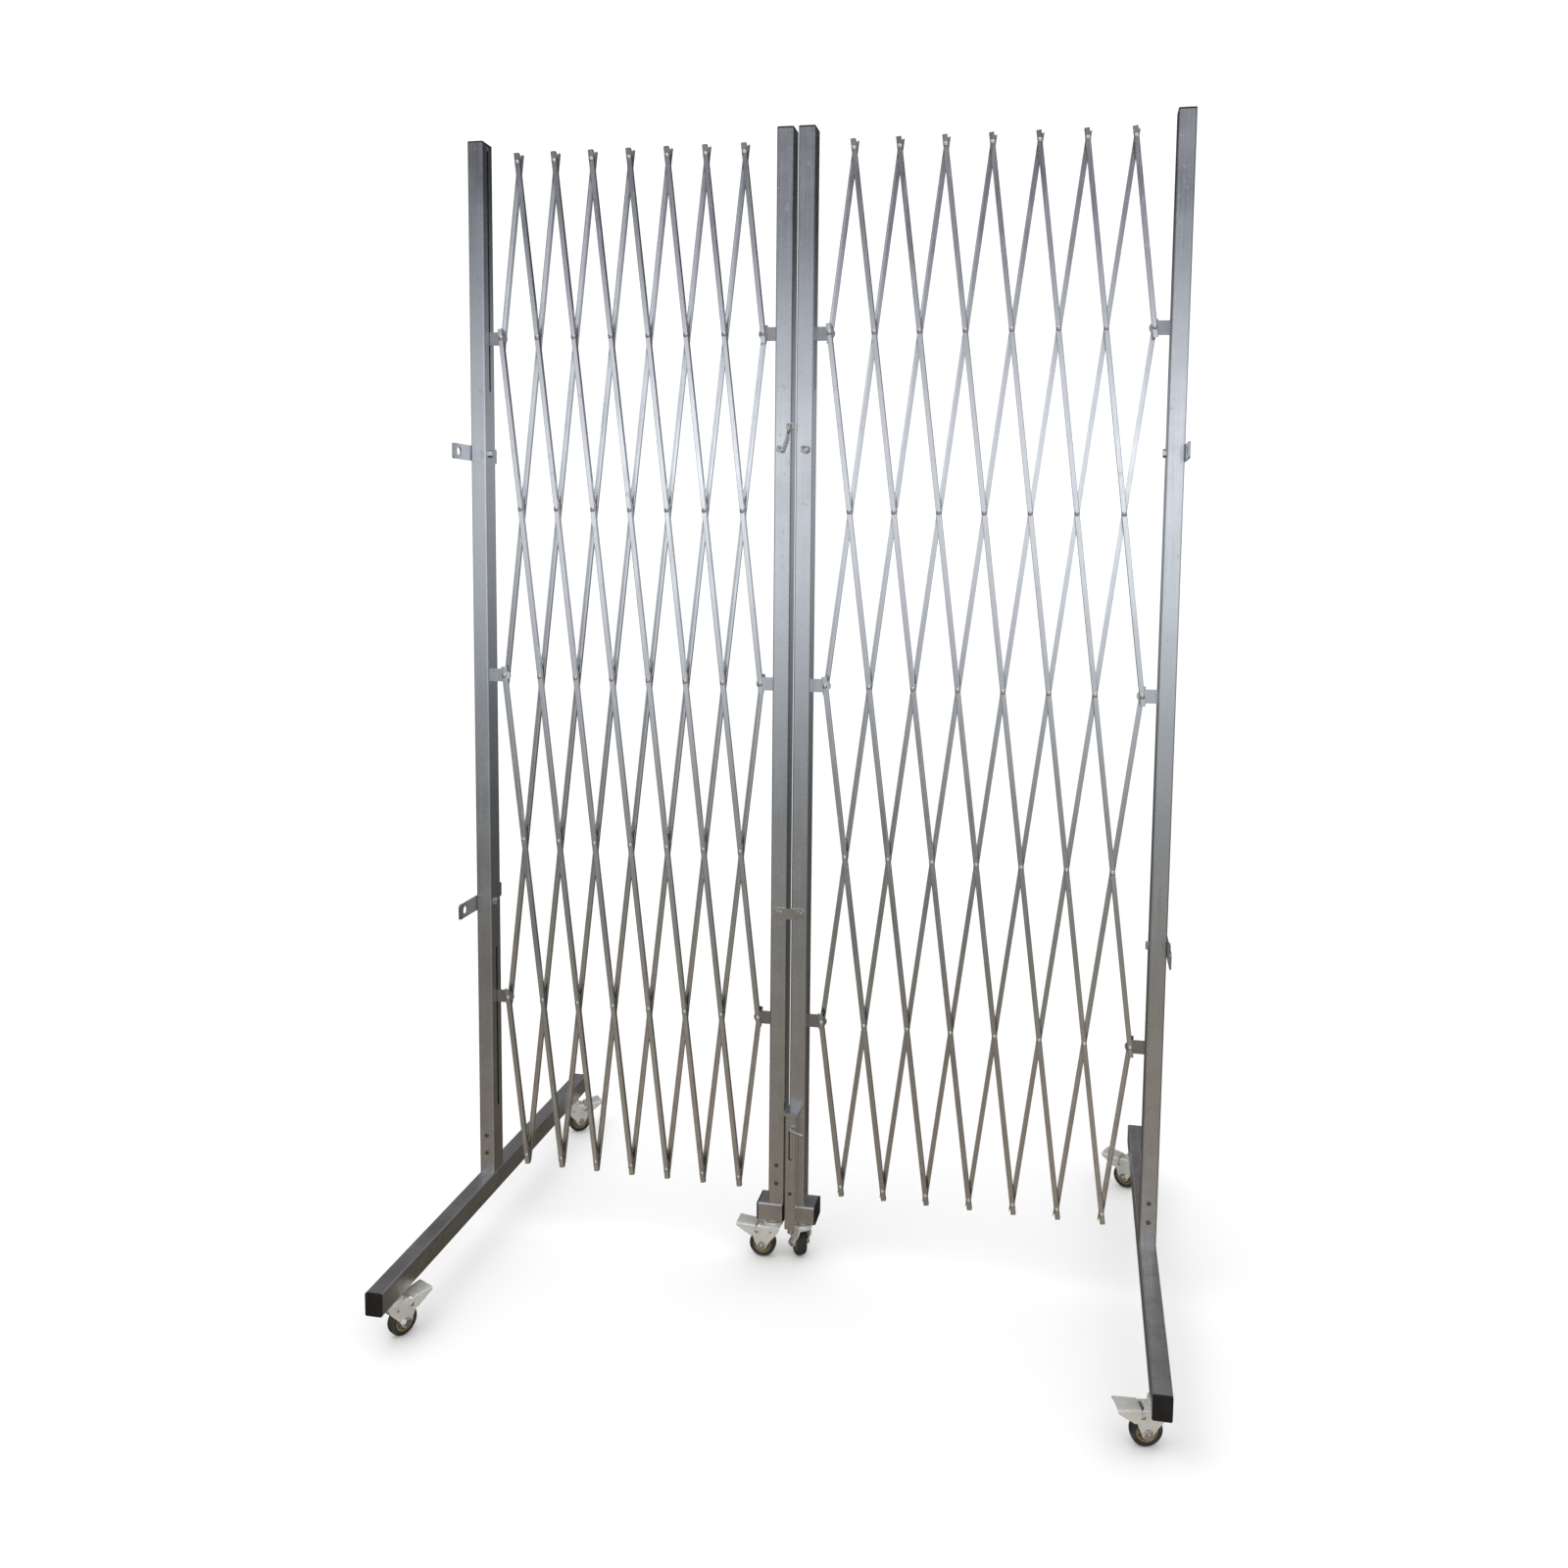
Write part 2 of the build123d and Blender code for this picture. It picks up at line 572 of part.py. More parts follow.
def tie_bolt(gate, z):
    """The bolt that holds a tie strap, through the post from its inner side, and its nut."""
    inner_x = gate.outer_post_x - gate.side * POST_WIDTH / 2
    outer_x = gate.outer_post_x + gate.side * (POST_WIDTH / 2 + TIE_THICKNESS)
    length = POST_WIDTH + TIE_THICKNESS + TIE_BOLT_HEAD
    bolt = hex_bolt((inner_x, 0, z), (gate.side, 0, 0), TIE_BOLT_RADIUS, length, NUT_FLATS, TIE_BOLT_HEAD)
    with BuildPart() as nut:
        with BuildSketch(Plane(origin=(outer_x, 0, z), z_dir=(gate.side, 0, 0))):
            RegularPolygon(NUT_FLATS / 2, 6, major_radius=False)
            Circle(TIE_BOLT_RADIUS + BORE_CLEARANCE, mode=Mode.SUBTRACT)
        extrude(amount=TIE_BOLT_HEAD - 1)
    return [bolt, nut.part]


def drilled_for_ties(post, gate):
    """An outer post with the clear holes for its tie bolts."""
    with BuildPart() as drilled:
        add(post)
        for z in TIE_HEIGHTS:
            with BuildSketch(Plane.YZ.offset(gate.outer_post_x)):
                with Locations((0, z)):
                    Circle(TIE_BOLT_RADIUS + BORE_CLEARANCE)
            extrude(amount=POST_WIDTH, both=True, mode=Mode.SUBTRACT)
    return drilled.part


def save_outer_frame(gate, headings):
    """The outer post, its long foot, its castors and what is fastened to them."""
    post = drilled_for_ties(slotted_post(gate, gate.outer_post_x, -gate.side), gate)
    fixed = bracket(gate, CELLS, FIXED_ROW, False)
    ties = [tie_strap(gate, z) for z in TIE_HEIGHTS]
    bolts = [piece for z in TIE_HEIGHTS for piece in tie_bolt(gate, z)]
    cap = post_cap(gate.outer_post_x)
    save(f"{gate.name}_outer_post", post, fixed, cap, *post_screws(gate.outer_post_x), *ties, *bolts)
    save(f"{gate.name}_foot", long_foot(gate), spigot(gate.outer_post_x), *long_foot_caps(gate))
    spots = (CASTOR_INSET - FOOT_FRONT, FOOT_REAR - CASTOR_INSET)
    pieces = []
    for y, heading in zip(spots, headings):
        pieces += castor(gate.outer_post_x, y, heading, 0)
    save(f"{gate.name}_castors", *pieces)


# ---- centre frame ------------------------------------------------------------------------
def screw_eye(x, z):
    """A wire ring facing the front, on a straight stem into the post at the ring's left side."""
    y = -POST_DEPTH / 2 - EYE_STANDOFF
    with BuildPart() as eye:
        with BuildSketch(Plane(origin=(x + EYE_RADIUS, y, z), z_dir=(0, 0, 1))):
            Circle(EYE_WIRE)
        revolve(axis=Axis((x, y, z), (0, 1, 0)))
        with BuildSketch(Plane(origin=(x - EYE_RADIUS, y, z), z_dir=(0, 1, 0))):
            Circle(EYE_STEM)
        extrude(amount=EYE_STANDOFF)
    return eye.part


def keeper():
    """The screw eye on the right inner post that takes the cabin hook's tip."""
    return screw_eye(RIGHT.inner_post_x + KEEPER_SHIFT, KEEPER_Z)


def hook_x():
    """X of the middle of the cabin hook's screw eye, standing over the gap between the posts."""
    return LEFT.inner_post_x + POST_WIDTH / 2 - HOOK_INSET + EYE_RADIUS


def hook_eye():
    """The screw eye on the left inner post that the cabin hook hangs from."""
    return screw_eye(hook_x(), HOOK_Z)


def cabin_hook():
    """The hook: a closed eye threaded through the screw eye, a straight shank and a turned-up tip."""
    x, y = hook_x(), -POST_DEPTH / 2 - EYE_STANDOFF
    ring_z = HOOK_Z - EYE_RADIUS - HOOK_SLACK
    low = ring_z - HOOK_EYE_RADIUS - HOOK_DROP
    with BuildPart() as hook:
        with BuildSketch(Plane(origin=(x, y + HOOK_EYE_RADIUS, ring_z), z_dir=(0, 0, 1))):
            Circle(HOOK_WIRE)
        revolve(axis=Axis((x, y, ring_z), (1, 0, 0)))
        with BuildLine() as path:
            FilletPolyline(
                (x, y, ring_z - HOOK_EYE_RADIUS),
                (x, y, low),
                (x - HOOK_TIP, y, low),
                (x - HOOK_TIP, y, low + HOOK_TIP),
                radius=HOOK_WIRE * 1.4,
            )
        with BuildSketch(Plane(origin=path.line @ 0, z_dir=path.line % 0)):
            Circle(HOOK_SHANK)
        sweep()
    return hook.part.rotate(Axis((x, y, HOOK_Z), (0, 1, 0)), HOOK_LEAN)


def latch_places():
    """X of the strap latch's pivot and of its stud."""
    return LEFT.inner_post_x, RIGHT.inner_post_x


def strap_latch():
    """The swinging strap that drops over a stud and ties the two inner posts together."""
    pivot_x, stud_x = latch_places()
    with BuildPart() as strap:
        with BuildSketch(Plane.XZ.offset(POST_DEPTH / 2 + BORE_CLEARANCE)):
            with Locations(((pivot_x + stud_x) / 2, LATCH_Z)):
                RectangleRounded(stud_x - pivot_x + 2 * LATCH_OVERHANG, LATCH_HEIGHT, 5)
            with Locations((pivot_x, LATCH_Z)):
                Circle(LATCH_PIN_RADIUS + BORE_CLEARANCE, mode=Mode.SUBTRACT)
            notch = LATCH_PIN_RADIUS + LATCH_NOTCH_CLEARANCE
            with Locations((stud_x, LATCH_Z)):
                Circle(notch, mode=Mode.SUBTRACT)
            with Locations((stud_x, LATCH_Z - LATCH_HEIGHT / 4)):
                Rectangle(2 * notch, LATCH_HEIGHT / 2, mode=Mode.SUBTRACT)
        extrude(amount=LATCH_THICKNESS)
    return strap.part


def latch_pins():
    """The strap latch's pivot pin and stud, headed so that the strap can't come off forwards."""
    pins = []
    for x in latch_places():
        with BuildPart() as pin:
            with BuildSketch(Plane(origin=(x, -POST_DEPTH / 2, LATCH_Z), z_dir=(0, -1, 0))):
                Circle(LATCH_PIN_RADIUS)
            reach = LATCH_THICKNESS + 4 * BORE_CLEARANCE
            extrude(amount=reach)
            with BuildSketch(Plane(origin=(x, -POST_DEPTH / 2 - reach, LATCH_Z), z_dir=(0, -1, 0))):
                Circle(LATCH_PIN_HEAD)
            extrude(amount=2.5)
        pins.append(pin.part)
    return pins


def bolt_axis():
    """X and Y of the drop bolt."""
    return RIGHT.inner_post_x - BOLT_SIDE_SHIFT, -max(POST_DEPTH / 2, INNER_FOOT_FRONT) - BOLT_HOUSING / 2


def bolt_housing():
    """The square guide tube of the drop bolt, its lid plate, and the handle's slot."""
    x, y = bolt_axis()
    inside = BOLT_HOUSING - 2 * BOLT_HOUSING_WALL
    height = BOLT_HOUSING_TOP - BOLT_HOUSING_BOTTOM
    slot = 2 * (BOLT_HANDLE_RADIUS + BOLT_CLEARANCE)
    with BuildPart() as housing:
        with BuildSketch(Plane(origin=(x, y, BOLT_HOUSING_BOTTOM))):
            RectangleRounded(BOLT_HOUSING, BOLT_HOUSING, 2)
            Rectangle(inside, inside, mode=Mode.SUBTRACT)
        extrude(amount=height)
        lid_y = -(POST_DEPTH + BOLT_LID_DEPTH) / 2
        with BuildSketch(Plane(origin=(RIGHT.inner_post_x - BOLT_LID_SHIFT, lid_y, BOLT_HOUSING_TOP))):
            Rectangle(BOLT_LID_WIDTH, BOLT_LID_DEPTH)
        extrude(amount=BOLT_LID_THICKNESS)
        for z in (BOLT_HOUSING_BOTTOM, BOLT_HOUSING_BOTTOM + height * 0.45):
            with BuildSketch(Plane(origin=(x, y, z))):
                Rectangle(inside, inside)
                Circle(BOLT_RADIUS + BOLT_CLEARANCE, mode=Mode.SUBTRACT)
            extrude(amount=6)
        with BuildSketch(Plane.XZ.offset(BOLT_HOUSING / 2 - y)):
            with Locations((x, BOLT_HANDLE_Z - BOLT_TRAVEL / 2)):
                Rectangle(slot, BOLT_TRAVEL)
            with Locations((x, BOLT_HANDLE_Z), (x, BOLT_HANDLE_Z - BOLT_TRAVEL)):
                Circle(slot / 2)
        extrude(amount=BOLT_HOUSING_WALL * 1.5, both=True, mode=Mode.SUBTRACT)
        with BuildSketch(Plane.XZ.offset(BOLT_HOUSING / 2 - y)):
            with Locations((x, BOLT_HOUSING_BOTTOM + HOUSING_SCREW_HEIGHT)):
                Circle(HOUSING_SCREW_RADIUS)
        extrude(amount=-BOLT_HOUSING_WALL, mode=Mode.SUBTRACT)
    return housing.part


def drop_bolt():
    """The drop bolt: a round bolt with a handle that comes out of the housing's slot."""
    x, y = bolt_axis()
    bend = Vector(x, y - BOLT_HANDLE_OUT, BOLT_HANDLE_Z)
    with BuildPart() as bolt:
        with BuildSketch(Plane(origin=(x, y, BOLT_TIP_Z))):
            Circle(BOLT_RADIUS)
        extrude(amount=BOLT_HANDLE_Z + BOLT_RADIUS - BOLT_TIP_Z)
        chamfer(bolt.edges().filter_by(GeomType.CIRCLE).sort_by(Axis.Z)[0], 1.5)
        with BuildLine() as path:
            FilletPolyline((x, y, BOLT_HANDLE_Z), bend, bend + Vector(*BOLT_HANDLE_REACH), radius=5)
        with BuildSketch(Plane(origin=path.line @ 0, z_dir=path.line % 0)):
            Circle(BOLT_HANDLE_RADIUS)
        sweep()
    return bolt.part


def housing_screw():
    """The screw through the housing's front near its foot."""
    x, y = bolt_axis()
    place = (x, y - BOLT_HOUSING / 2, BOLT_HOUSING_BOTTOM + HOUSING_SCREW_HEIGHT)
    return pan_screw(place, (0, 1, 0), 3.6, 1.6, HOUSING_SCREW_RADIUS, BOLT_HOUSING_WALL + 1.5)


def inner_foot(gate):
    """The short foot under an inner post: a box tube along X, its caps and its castor's pad."""
    side = gate.side
    tube_start = side * (INNER_FACE + CAP_THICKNESS)
    tube_length = INNER_FOOT_LENGTH - 2 * CAP_THICKNESS
    centre_y = INNER_FOOT_DEPTH / 2 - INNER_FOOT_FRONT
    centre_z = FOOT_TOP - INNER_FOOT_HEIGHT / 2
    start = Plane(origin=(tube_start, centre_y, centre_z), x_dir=(0, 1, 0), z_dir=(side, 0, 0))
    tube = rounded_tube(start, INNER_FOOT_DEPTH, INNER_FOOT_HEIGHT, FOOT_WALL, POST_CORNER, tube_length)
    caps = []
    for x, way in ((tube_start, -side), (tube_start + side * tube_length, side)):
        plane = Plane(origin=(x, centre_y, centre_z), x_dir=(0, 1, 0), z_dir=(way, 0, 0))
        caps.append(end_cap(plane, INNER_FOOT_DEPTH, INNER_FOOT_HEIGHT, FOOT_WALL, POST_CORNER))
    return [tube, spigot(gate.inner_post_x), *caps]


def save_centre():
    """The two inner posts, their feet and castors, and the latches between them."""
    left_post = slotted_post(LEFT, LEFT.inner_post_x, LEFT.side)
    left_extras = [post_cap(LEFT.inner_post_x), *post_screws(LEFT.inner_post_x)]
    pins = latch_pins()
    save("left_inner_post", left_post, bracket(LEFT, 0, FIXED_ROW, False), *left_extras, hook_eye(), pins[0])
    right_post = slotted_post(RIGHT, RIGHT.inner_post_x, RIGHT.side)
    right_extras = [post_cap(RIGHT.inner_post_x), keeper(), pins[1], bolt_housing(), housing_screw()]
    save("right_inner_post", right_post, bracket(RIGHT, 0, FIXED_ROW, False), *right_extras)
    pieces = []
    for gate, heading in ((LEFT, 180), (RIGHT, 121)):
        spot = gate.side * (INNER_FACE + INNER_FOOT_LENGTH / 2 - 2)
        pieces += inner_foot(gate) + castor(spot, 0, heading, FOOT_HEIGHT - INNER_FOOT_HEIGHT)
    save("centre_feet", *pieces)
    save("cabin_hook", cabin_hook())
    save("strap_latch", strap_latch())
    save("drop_bolt", drop_bolt())


for gate in (LEFT, RIGHT):
    save_bars(gate)
    save_sliders(gate)
save_outer_frame(LEFT, (64, 38))
save_outer_frame(RIGHT, (195, 156))
save_centre()
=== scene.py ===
"""Looks of a pair of free-standing expanding lattice gates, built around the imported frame."""

import logging  # noqa: E402
import math  # noqa: E402
from dataclasses import dataclass, field  # noqa: E402
from enum import Enum  # noqa: E402

import bmesh  # noqa: E402
import bpy  # noqa: E402
from mathutils import Matrix, Vector  # noqa: E402

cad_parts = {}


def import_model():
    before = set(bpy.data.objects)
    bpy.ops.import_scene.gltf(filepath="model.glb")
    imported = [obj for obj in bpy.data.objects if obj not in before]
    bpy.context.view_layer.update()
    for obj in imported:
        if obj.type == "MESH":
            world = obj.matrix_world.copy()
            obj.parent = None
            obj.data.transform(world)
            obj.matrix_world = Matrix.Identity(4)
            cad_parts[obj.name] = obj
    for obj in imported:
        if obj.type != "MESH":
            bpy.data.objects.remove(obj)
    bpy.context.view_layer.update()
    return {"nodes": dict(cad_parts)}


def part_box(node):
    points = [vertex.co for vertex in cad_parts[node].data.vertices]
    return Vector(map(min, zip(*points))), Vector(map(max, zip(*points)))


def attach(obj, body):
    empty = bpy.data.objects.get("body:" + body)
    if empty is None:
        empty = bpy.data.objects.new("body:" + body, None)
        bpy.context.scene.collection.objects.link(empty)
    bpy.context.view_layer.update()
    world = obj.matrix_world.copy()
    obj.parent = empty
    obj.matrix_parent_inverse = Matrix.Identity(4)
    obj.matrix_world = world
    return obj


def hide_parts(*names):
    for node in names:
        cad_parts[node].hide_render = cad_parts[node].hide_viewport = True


MM = 0.001
LOG = logging.getLogger("gates")

Colour = tuple[float, float, float]
Pair = tuple[float, float]
Ring = list[tuple[float, float, float]]


# ---- shader expressions ------------------------------------------------------------
class Signal:
    """A node's output that can stand in an arithmetic expression."""

    def __init__(self, graph: "Graph", socket: bpy.types.NodeSocket) -> None:
        """Wraps one output socket of a graph."""
        self.graph = graph
        self.socket = socket

    def _join(self, operation: str, left: "Signal | float", right: "Signal | float") -> "Signal":
        """Adds one Math node."""
        return self.graph.node("ShaderNodeMath", {"operation": operation}, {0: left, 1: right})

    def __add__(self, other: "Signal | float") -> "Signal":
        """Sum."""
        return self._join("ADD", self, other)

    def __radd__(self, other: float) -> "Signal":
        """Sum with a number on the left."""
        return self._join("ADD", other, self)

    def __sub__(self, other: "Signal | float") -> "Signal":
        """Difference."""
        return self._join("SUBTRACT", self, other)

    def __rsub__(self, other: float) -> "Signal":
        """Difference with a number on the left."""
        return self._join("SUBTRACT", other, self)

    def __mul__(self, other: "Signal | float") -> "Signal":
        """Product."""
        return self._join("MULTIPLY", self, other)

    def __rmul__(self, other: float) -> "Signal":
        """Product with a number on the left."""
        return self._join("MULTIPLY", other, self)

    def __gt__(self, other: "Signal | float") -> "Signal":
        """1 where this is larger, and 0 elsewhere."""
        return self._join("GREATER_THAN", self, other)

    def __lt__(self, other: "Signal | float") -> "Signal":
        """1 where this is smaller, and 0 elsewhere."""
        return self._join("LESS_THAN", self, other)

    def __abs__(self) -> "Signal":
        """Size without its sign."""
        return self._join("ABSOLUTE", self, 0.0)

    def spread(self, low: float, high: float) -> "Signal":
        """Stretches low to high over 0 to 1, and clips the rest.

        Args:
            low: the value that becomes 0.
            high: the value that becomes 1.

        Returns:
            The clipped signal.
        """
        scale = 1.0 / (high - low)
        settings = {"operation": "MULTIPLY_ADD", "use_clamp": True}
        return self.graph.node("ShaderNodeMath", settings, {0: self, 1: scale, 2: -low * scale})


class Graph:
    """The node tree of one material or world."""

    def __init__(self, tree: bpy.types.NodeTree) -> None:
        """Starts from an empty tree."""
        self.tree = tree
        tree.nodes.clear()

    def node(self, kind: str, settings: dict, sockets: dict, output: int | str = 0) -> Signal:
        """Adds any node.

        Args:
            kind: the node's type.
            settings: its properties, set first; "stops" are a ramp's (place, colour) pairs.
            sockets: values or signals by the input's name or index.
            output: which output to hand back.

        Returns:
            The chosen output.
        """
        made = self.tree.nodes.new(kind)
        for name, value in settings.items():
            if name == "stops":
                self._fill(made.color_ramp, value)
            else:
                setattr(made, name, value)
        for name, value in sockets.items():
            if isinstance(value, Signal):
                self.tree.links.new(value.socket, made.inputs[name])
            else:
                made.inputs[name].default_value = value
        return Signal(self, made.outputs[output] if made.outputs else None)

    @staticmethod
    def _fill(ramp: bpy.types.ColorRamp, stops: list) -> None:
        """Sets a colour ramp's stops."""
        while len(ramp.elements) > 1:
            ramp.elements.remove(ramp.elements[-1])
        ramp.elements[0].position = stops[0][0]
        ramp.elements[0].color = (*stops[0][1], 1)
        for place, colour in stops[1:]:
            ramp.elements.new(place).color = (*colour, 1)

    def ramp(self, share: Signal, stops: list) -> Signal:
        """A colour that runs through stops as share goes from 0 to 1."""
        return self.node("ShaderNodeValToRGB", {"stops": stops}, {"Fac": share})

    def blend(self, under: "Signal | Colour", over: "Signal | Colour", share: "Signal | float") -> Signal:
        """A colour between two others.

        Args:
            under: the colour at 0.
            over: the colour at 1.
            share: how much of the second.

        Returns:
            The mixed colour.
        """
        ends = [end if isinstance(end, Signal) else (*end, 1) for end in (under, over)]
        return self.node("ShaderNodeMix", {"data_type": "RGBA"}, {0: share, 6: ends[0], 7: ends[1]}, 2)

    def multiply(self, left: "Signal | Colour", right: "Signal | Colour") -> Signal:
        """Two colours multiplied channel by channel."""
        ends = [end if isinstance(end, Signal) else (*end, 1) for end in (left, right)]
        settings = {"data_type": "RGBA", "blend_type": "MULTIPLY"}
        return self.node("ShaderNodeMix", settings, {0: 1.0, 6: ends[0], 7: ends[1]}, 2)

    def place(self) -> Signal:
        """Where the surface point is in the frame at rest."""
        return self.node("ShaderNodeTexCoord", {}, {}, "Object")

    def noise(self, point: Signal, scale: float | Colour, detail: float = 3.0, rough: float = 0.55) -> Signal:
        """Cloudy noise over the surface.

        Args:
            point: the place to read it at.
            scale: cycles per metre, one number or one for each axis.
            detail: octaves.
            rough: weight of the finer octaves.

        Returns:
            A value around 0.5.
        """
        if isinstance(scale, tuple):
            point = self.node("ShaderNodeMapping", {}, {"Vector": point, "Scale": scale})
            scale = 1.0
        sockets = {"Vector": point, "Scale": scale, "Detail": detail, "Roughness": rough}
        return self.node("ShaderNodeTexNoise", {}, sockets)

    def crystals(self, point: Signal, scale: float) -> Signal:
        """One random tone for each zinc crystal."""
        tone = self.node("ShaderNodeTexVoronoi", {}, {"Vector": point, "Scale": scale}, "Color")
        return self.node("ShaderNodeSeparateColor", {}, {"Color": tone})


class Grain(Enum):
    """Which way a piece was rolled, as noise cycles per metre for each axis."""

    UPRIGHT = (420.0, 420.0, 5.0)
    DEEP = (420.0, 5.0, 420.0)
    ACROSS = (5.0, 420.0, 420.0)
    NONE = (260.0, 260.0, 260.0)


@dataclass(frozen=True)
class Surface:
    """What a finish gives at each point: colour, metallic, roughness and height."""

    colour: Signal
    metallic: Signal | float
    roughness: Signal
    height: Signal

    def under(self, other: "Surface", mask: Signal) -> "Surface":
        """This surface with another one over it where the mask is 1.

        Args:
            other: the surface on top.
            mask: where it is.

        Returns:
            The joined surface.
        """
        graph = self.colour.graph
        return Surface(
            graph.blend(self.colour, other.colour, mask),
            (1 - mask) * self.metallic + mask * other.metallic,
            (1 - mask) * self.roughness + mask * other.roughness,
            (1 - mask) * self.height + mask * other.height,
        )


# ---- finishes ----------------------------------------------------------------------
@dataclass(frozen=True)
class ZincFinish:
    """Zinc on steel: a rolled grain, crystal tones, cloudy bloom, grime smudges, and a painted reflection
    that turns the colour darker and warmer towards the bottom.
    """

    slot: str
    light: Colour
    dark: Colour
    smooth: float
    dull: float
    grain: Grain = Grain.UPRIGHT
    crystal: float = 130.0
    # Strength of the grime smudges and of the painted reflection that darkens and warms the colour towards
    # the bottom.
    grime_and_painted_reflection: float = 0.35
    metal: float = 1.0

    def surface(self, graph: Graph, point: Signal) -> Surface:
        """Makes the finish's nodes.

        Args:
            graph: the tree they go in.
            point: the place on the surface.

        Returns:
            What the finish gives.
        """
        rolled = graph.noise(point, self.grain.value, 4.0, 0.6)
        bloom = graph.noise(point, 11.0, 4.0, 0.6)
        fine = graph.noise(point, 900.0, 2.0)
        crystals = graph.crystals(point, self.crystal)
        tone = (rolled * 0.55 + bloom * 0.35 + crystals * 0.1).spread(0.36, 0.66)
        colour = graph.blend(self.dark, self.light, tone)
        height_z = graph.node("ShaderNodeSeparateXYZ", {}, {"Vector": point}, "Z")
        # Painted reflection: the colour grows darker and browner towards the bottom, standing in for the warm
        # floor mirrored in the zinc; the smudge noise adds grime spots over it.
        low = 1 - height_z.spread(0.02, 0.9)
        smudge = graph.noise(point, 34.0, 5.0, 0.65).spread(0.46, 0.72)
        soil_and_painted_reflection = (low * 0.55 + 0.04) * smudge * self.grime_and_painted_reflection
        colour = graph.blend(colour, (0.16, 0.135, 0.10), soil_and_painted_reflection)
        # Painted reflection: a warm tint that grows towards the bottom.
        painted_warm_reflection = graph.blend((1.0, 1.0, 1.0), (0.92, 0.87, 0.80), low * self.grime_and_painted_reflection)
        scratch = graph.noise(point, (60.0, 760.0, 60.0), 2.0).spread(0.68, 0.71)
        rough = self.smooth + (self.dull - self.smooth) * (rolled * 0.5 + bloom * 0.5).spread(0.35, 0.66)
        rough = rough + soil_and_painted_reflection * 0.25 + scratch * 0.06
        height = rolled * 0.5 + fine * 0.25 + crystals * 0.12 - scratch * 0.2
        return Surface(graph.multiply(colour, painted_warm_reflection), self.metal, rough, height)


@dataclass(frozen=True)
class PlasticFinish:
    """Moulded plastic or rubber: a fine grain, faint bloom and cloudy dust."""

    slot: str
    colour: Colour
    bloom: Colour
    smooth: float
    dull: float
    grain: float = 1500.0

    def surface(self, graph: Graph, point: Signal) -> Surface:
        """Makes the finish's nodes.

        Args:
            graph: the tree they go in.
            point: the place on the surface.

        Returns:
            What the finish gives.
        """
        leather = graph.crystals(point, self.grain)
        cloud = graph.noise(point, 55.0, 5.0, 0.65)
        dust = cloud.spread(0.48, 0.78)
        colour = graph.blend(self.colour, self.bloom, dust * 0.7)
        rough = self.smooth + (self.dull - self.smooth) * cloud.spread(0.35, 0.7) + leather * 0.05
        return Surface(colour, 0.0, rough, leather * 0.6 + cloud * 0.4)


class Finish(Enum):
    """The finishes on the gates."""

    POST = ZincFinish("galvanised", (0.80, 0.815, 0.84), (0.745, 0.76, 0.785), 0.20, 0.32)
    FOOT = ZincFinish(
        "galvanised", (0.82, 0.82, 0.83), (0.70, 0.70, 0.71),
        0.26, 0.40, Grain.DEEP, grime_and_painted_reflection=0.5,
    )
    SHORT_FOOT = ZincFinish(
        "galvanised", (0.79, 0.795, 0.81), (0.71, 0.71, 0.725),
        0.22, 0.34, Grain.ACROSS,
    )
    BAR = ZincFinish("zinc_bar", (0.90, 0.905, 0.92), (0.84, 0.845, 0.86), 0.16, 0.30, grime_and_painted_reflection=0.45)
    STRAP = ZincFinish("galvanised", (0.62, 0.62, 0.63), (0.44, 0.44, 0.45), 0.24, 0.38, Grain.DEEP)
    BRIGHT = ZincFinish(
        "bright_zinc", (0.93, 0.92, 0.89), (0.78, 0.77, 0.74),
        0.12, 0.24, Grain.NONE, 300.0, 0.2,
    )
    SCREW = ZincFinish(
        "bright_zinc", (0.34, 0.31, 0.28), (0.16, 0.14, 0.12),
        0.30, 0.48, Grain.NONE, 400.0, 0.6,
    )
    CASTOR = ZincFinish(
        "zinc_castor", (0.95, 0.95, 0.92), (0.86, 0.86, 0.82),
        0.16, 0.30, Grain.NONE, 240.0, 0.2, 0.6,
    )
    CAP = PlasticFinish("black_plastic", (0.006, 0.006, 0.0065), (0.018, 0.018, 0.019), 0.34, 0.52)
    TYRE = PlasticFinish("tyre_rubber", (0.022, 0.021, 0.018), (0.085, 0.078, 0.060), 0.50, 0.72, 900.0)
    CORE = PlasticFinish("wheel_core", (0.20, 0.155, 0.070), (0.30, 0.25, 0.15), 0.34, 0.55, 700.0)


class Axis(Enum):
    """A direction of the frame."""

    X = "X"
    Y = "Y"
    Z = "Z"


@dataclass(frozen=True)
class Limit:
    """Where a coordinate, or its size, lies between two numbers in metres."""

    axis: Axis
    low: float = -100.0
    high: float = 100.0
    sized: bool = False

    def mask(self, graph: Graph, point: Signal) -> Signal:
        """1 inside the limit and 0 outside.

        Args:
            graph: the tree its nodes go in.
            point: the place on the surface.

        Returns:
            The mask.
        """
        value = graph.node("ShaderNodeSeparateXYZ", {}, {"Vector": point}, self.axis.value)
        if self.sized:
            value = abs(value)
        if self.low <= -100.0:
            return value < self.high
        if self.high >= 100.0:
            return value > self.low
        return (value > self.low) * (value < self.high)


@dataclass(frozen=True)
class Zone:
    """Part of a piece that has another finish."""

    finish: Finish
    limits: tuple[Limit, ...]

    def mask(self, graph: Graph, point: Signal) -> Signal:
        """1 where all the limits hold."""
        whole = self.limits[0].mask(graph, point)
        for limit in self.limits[1:]:
            whole = whole * limit.mask(graph, point)
        return whole


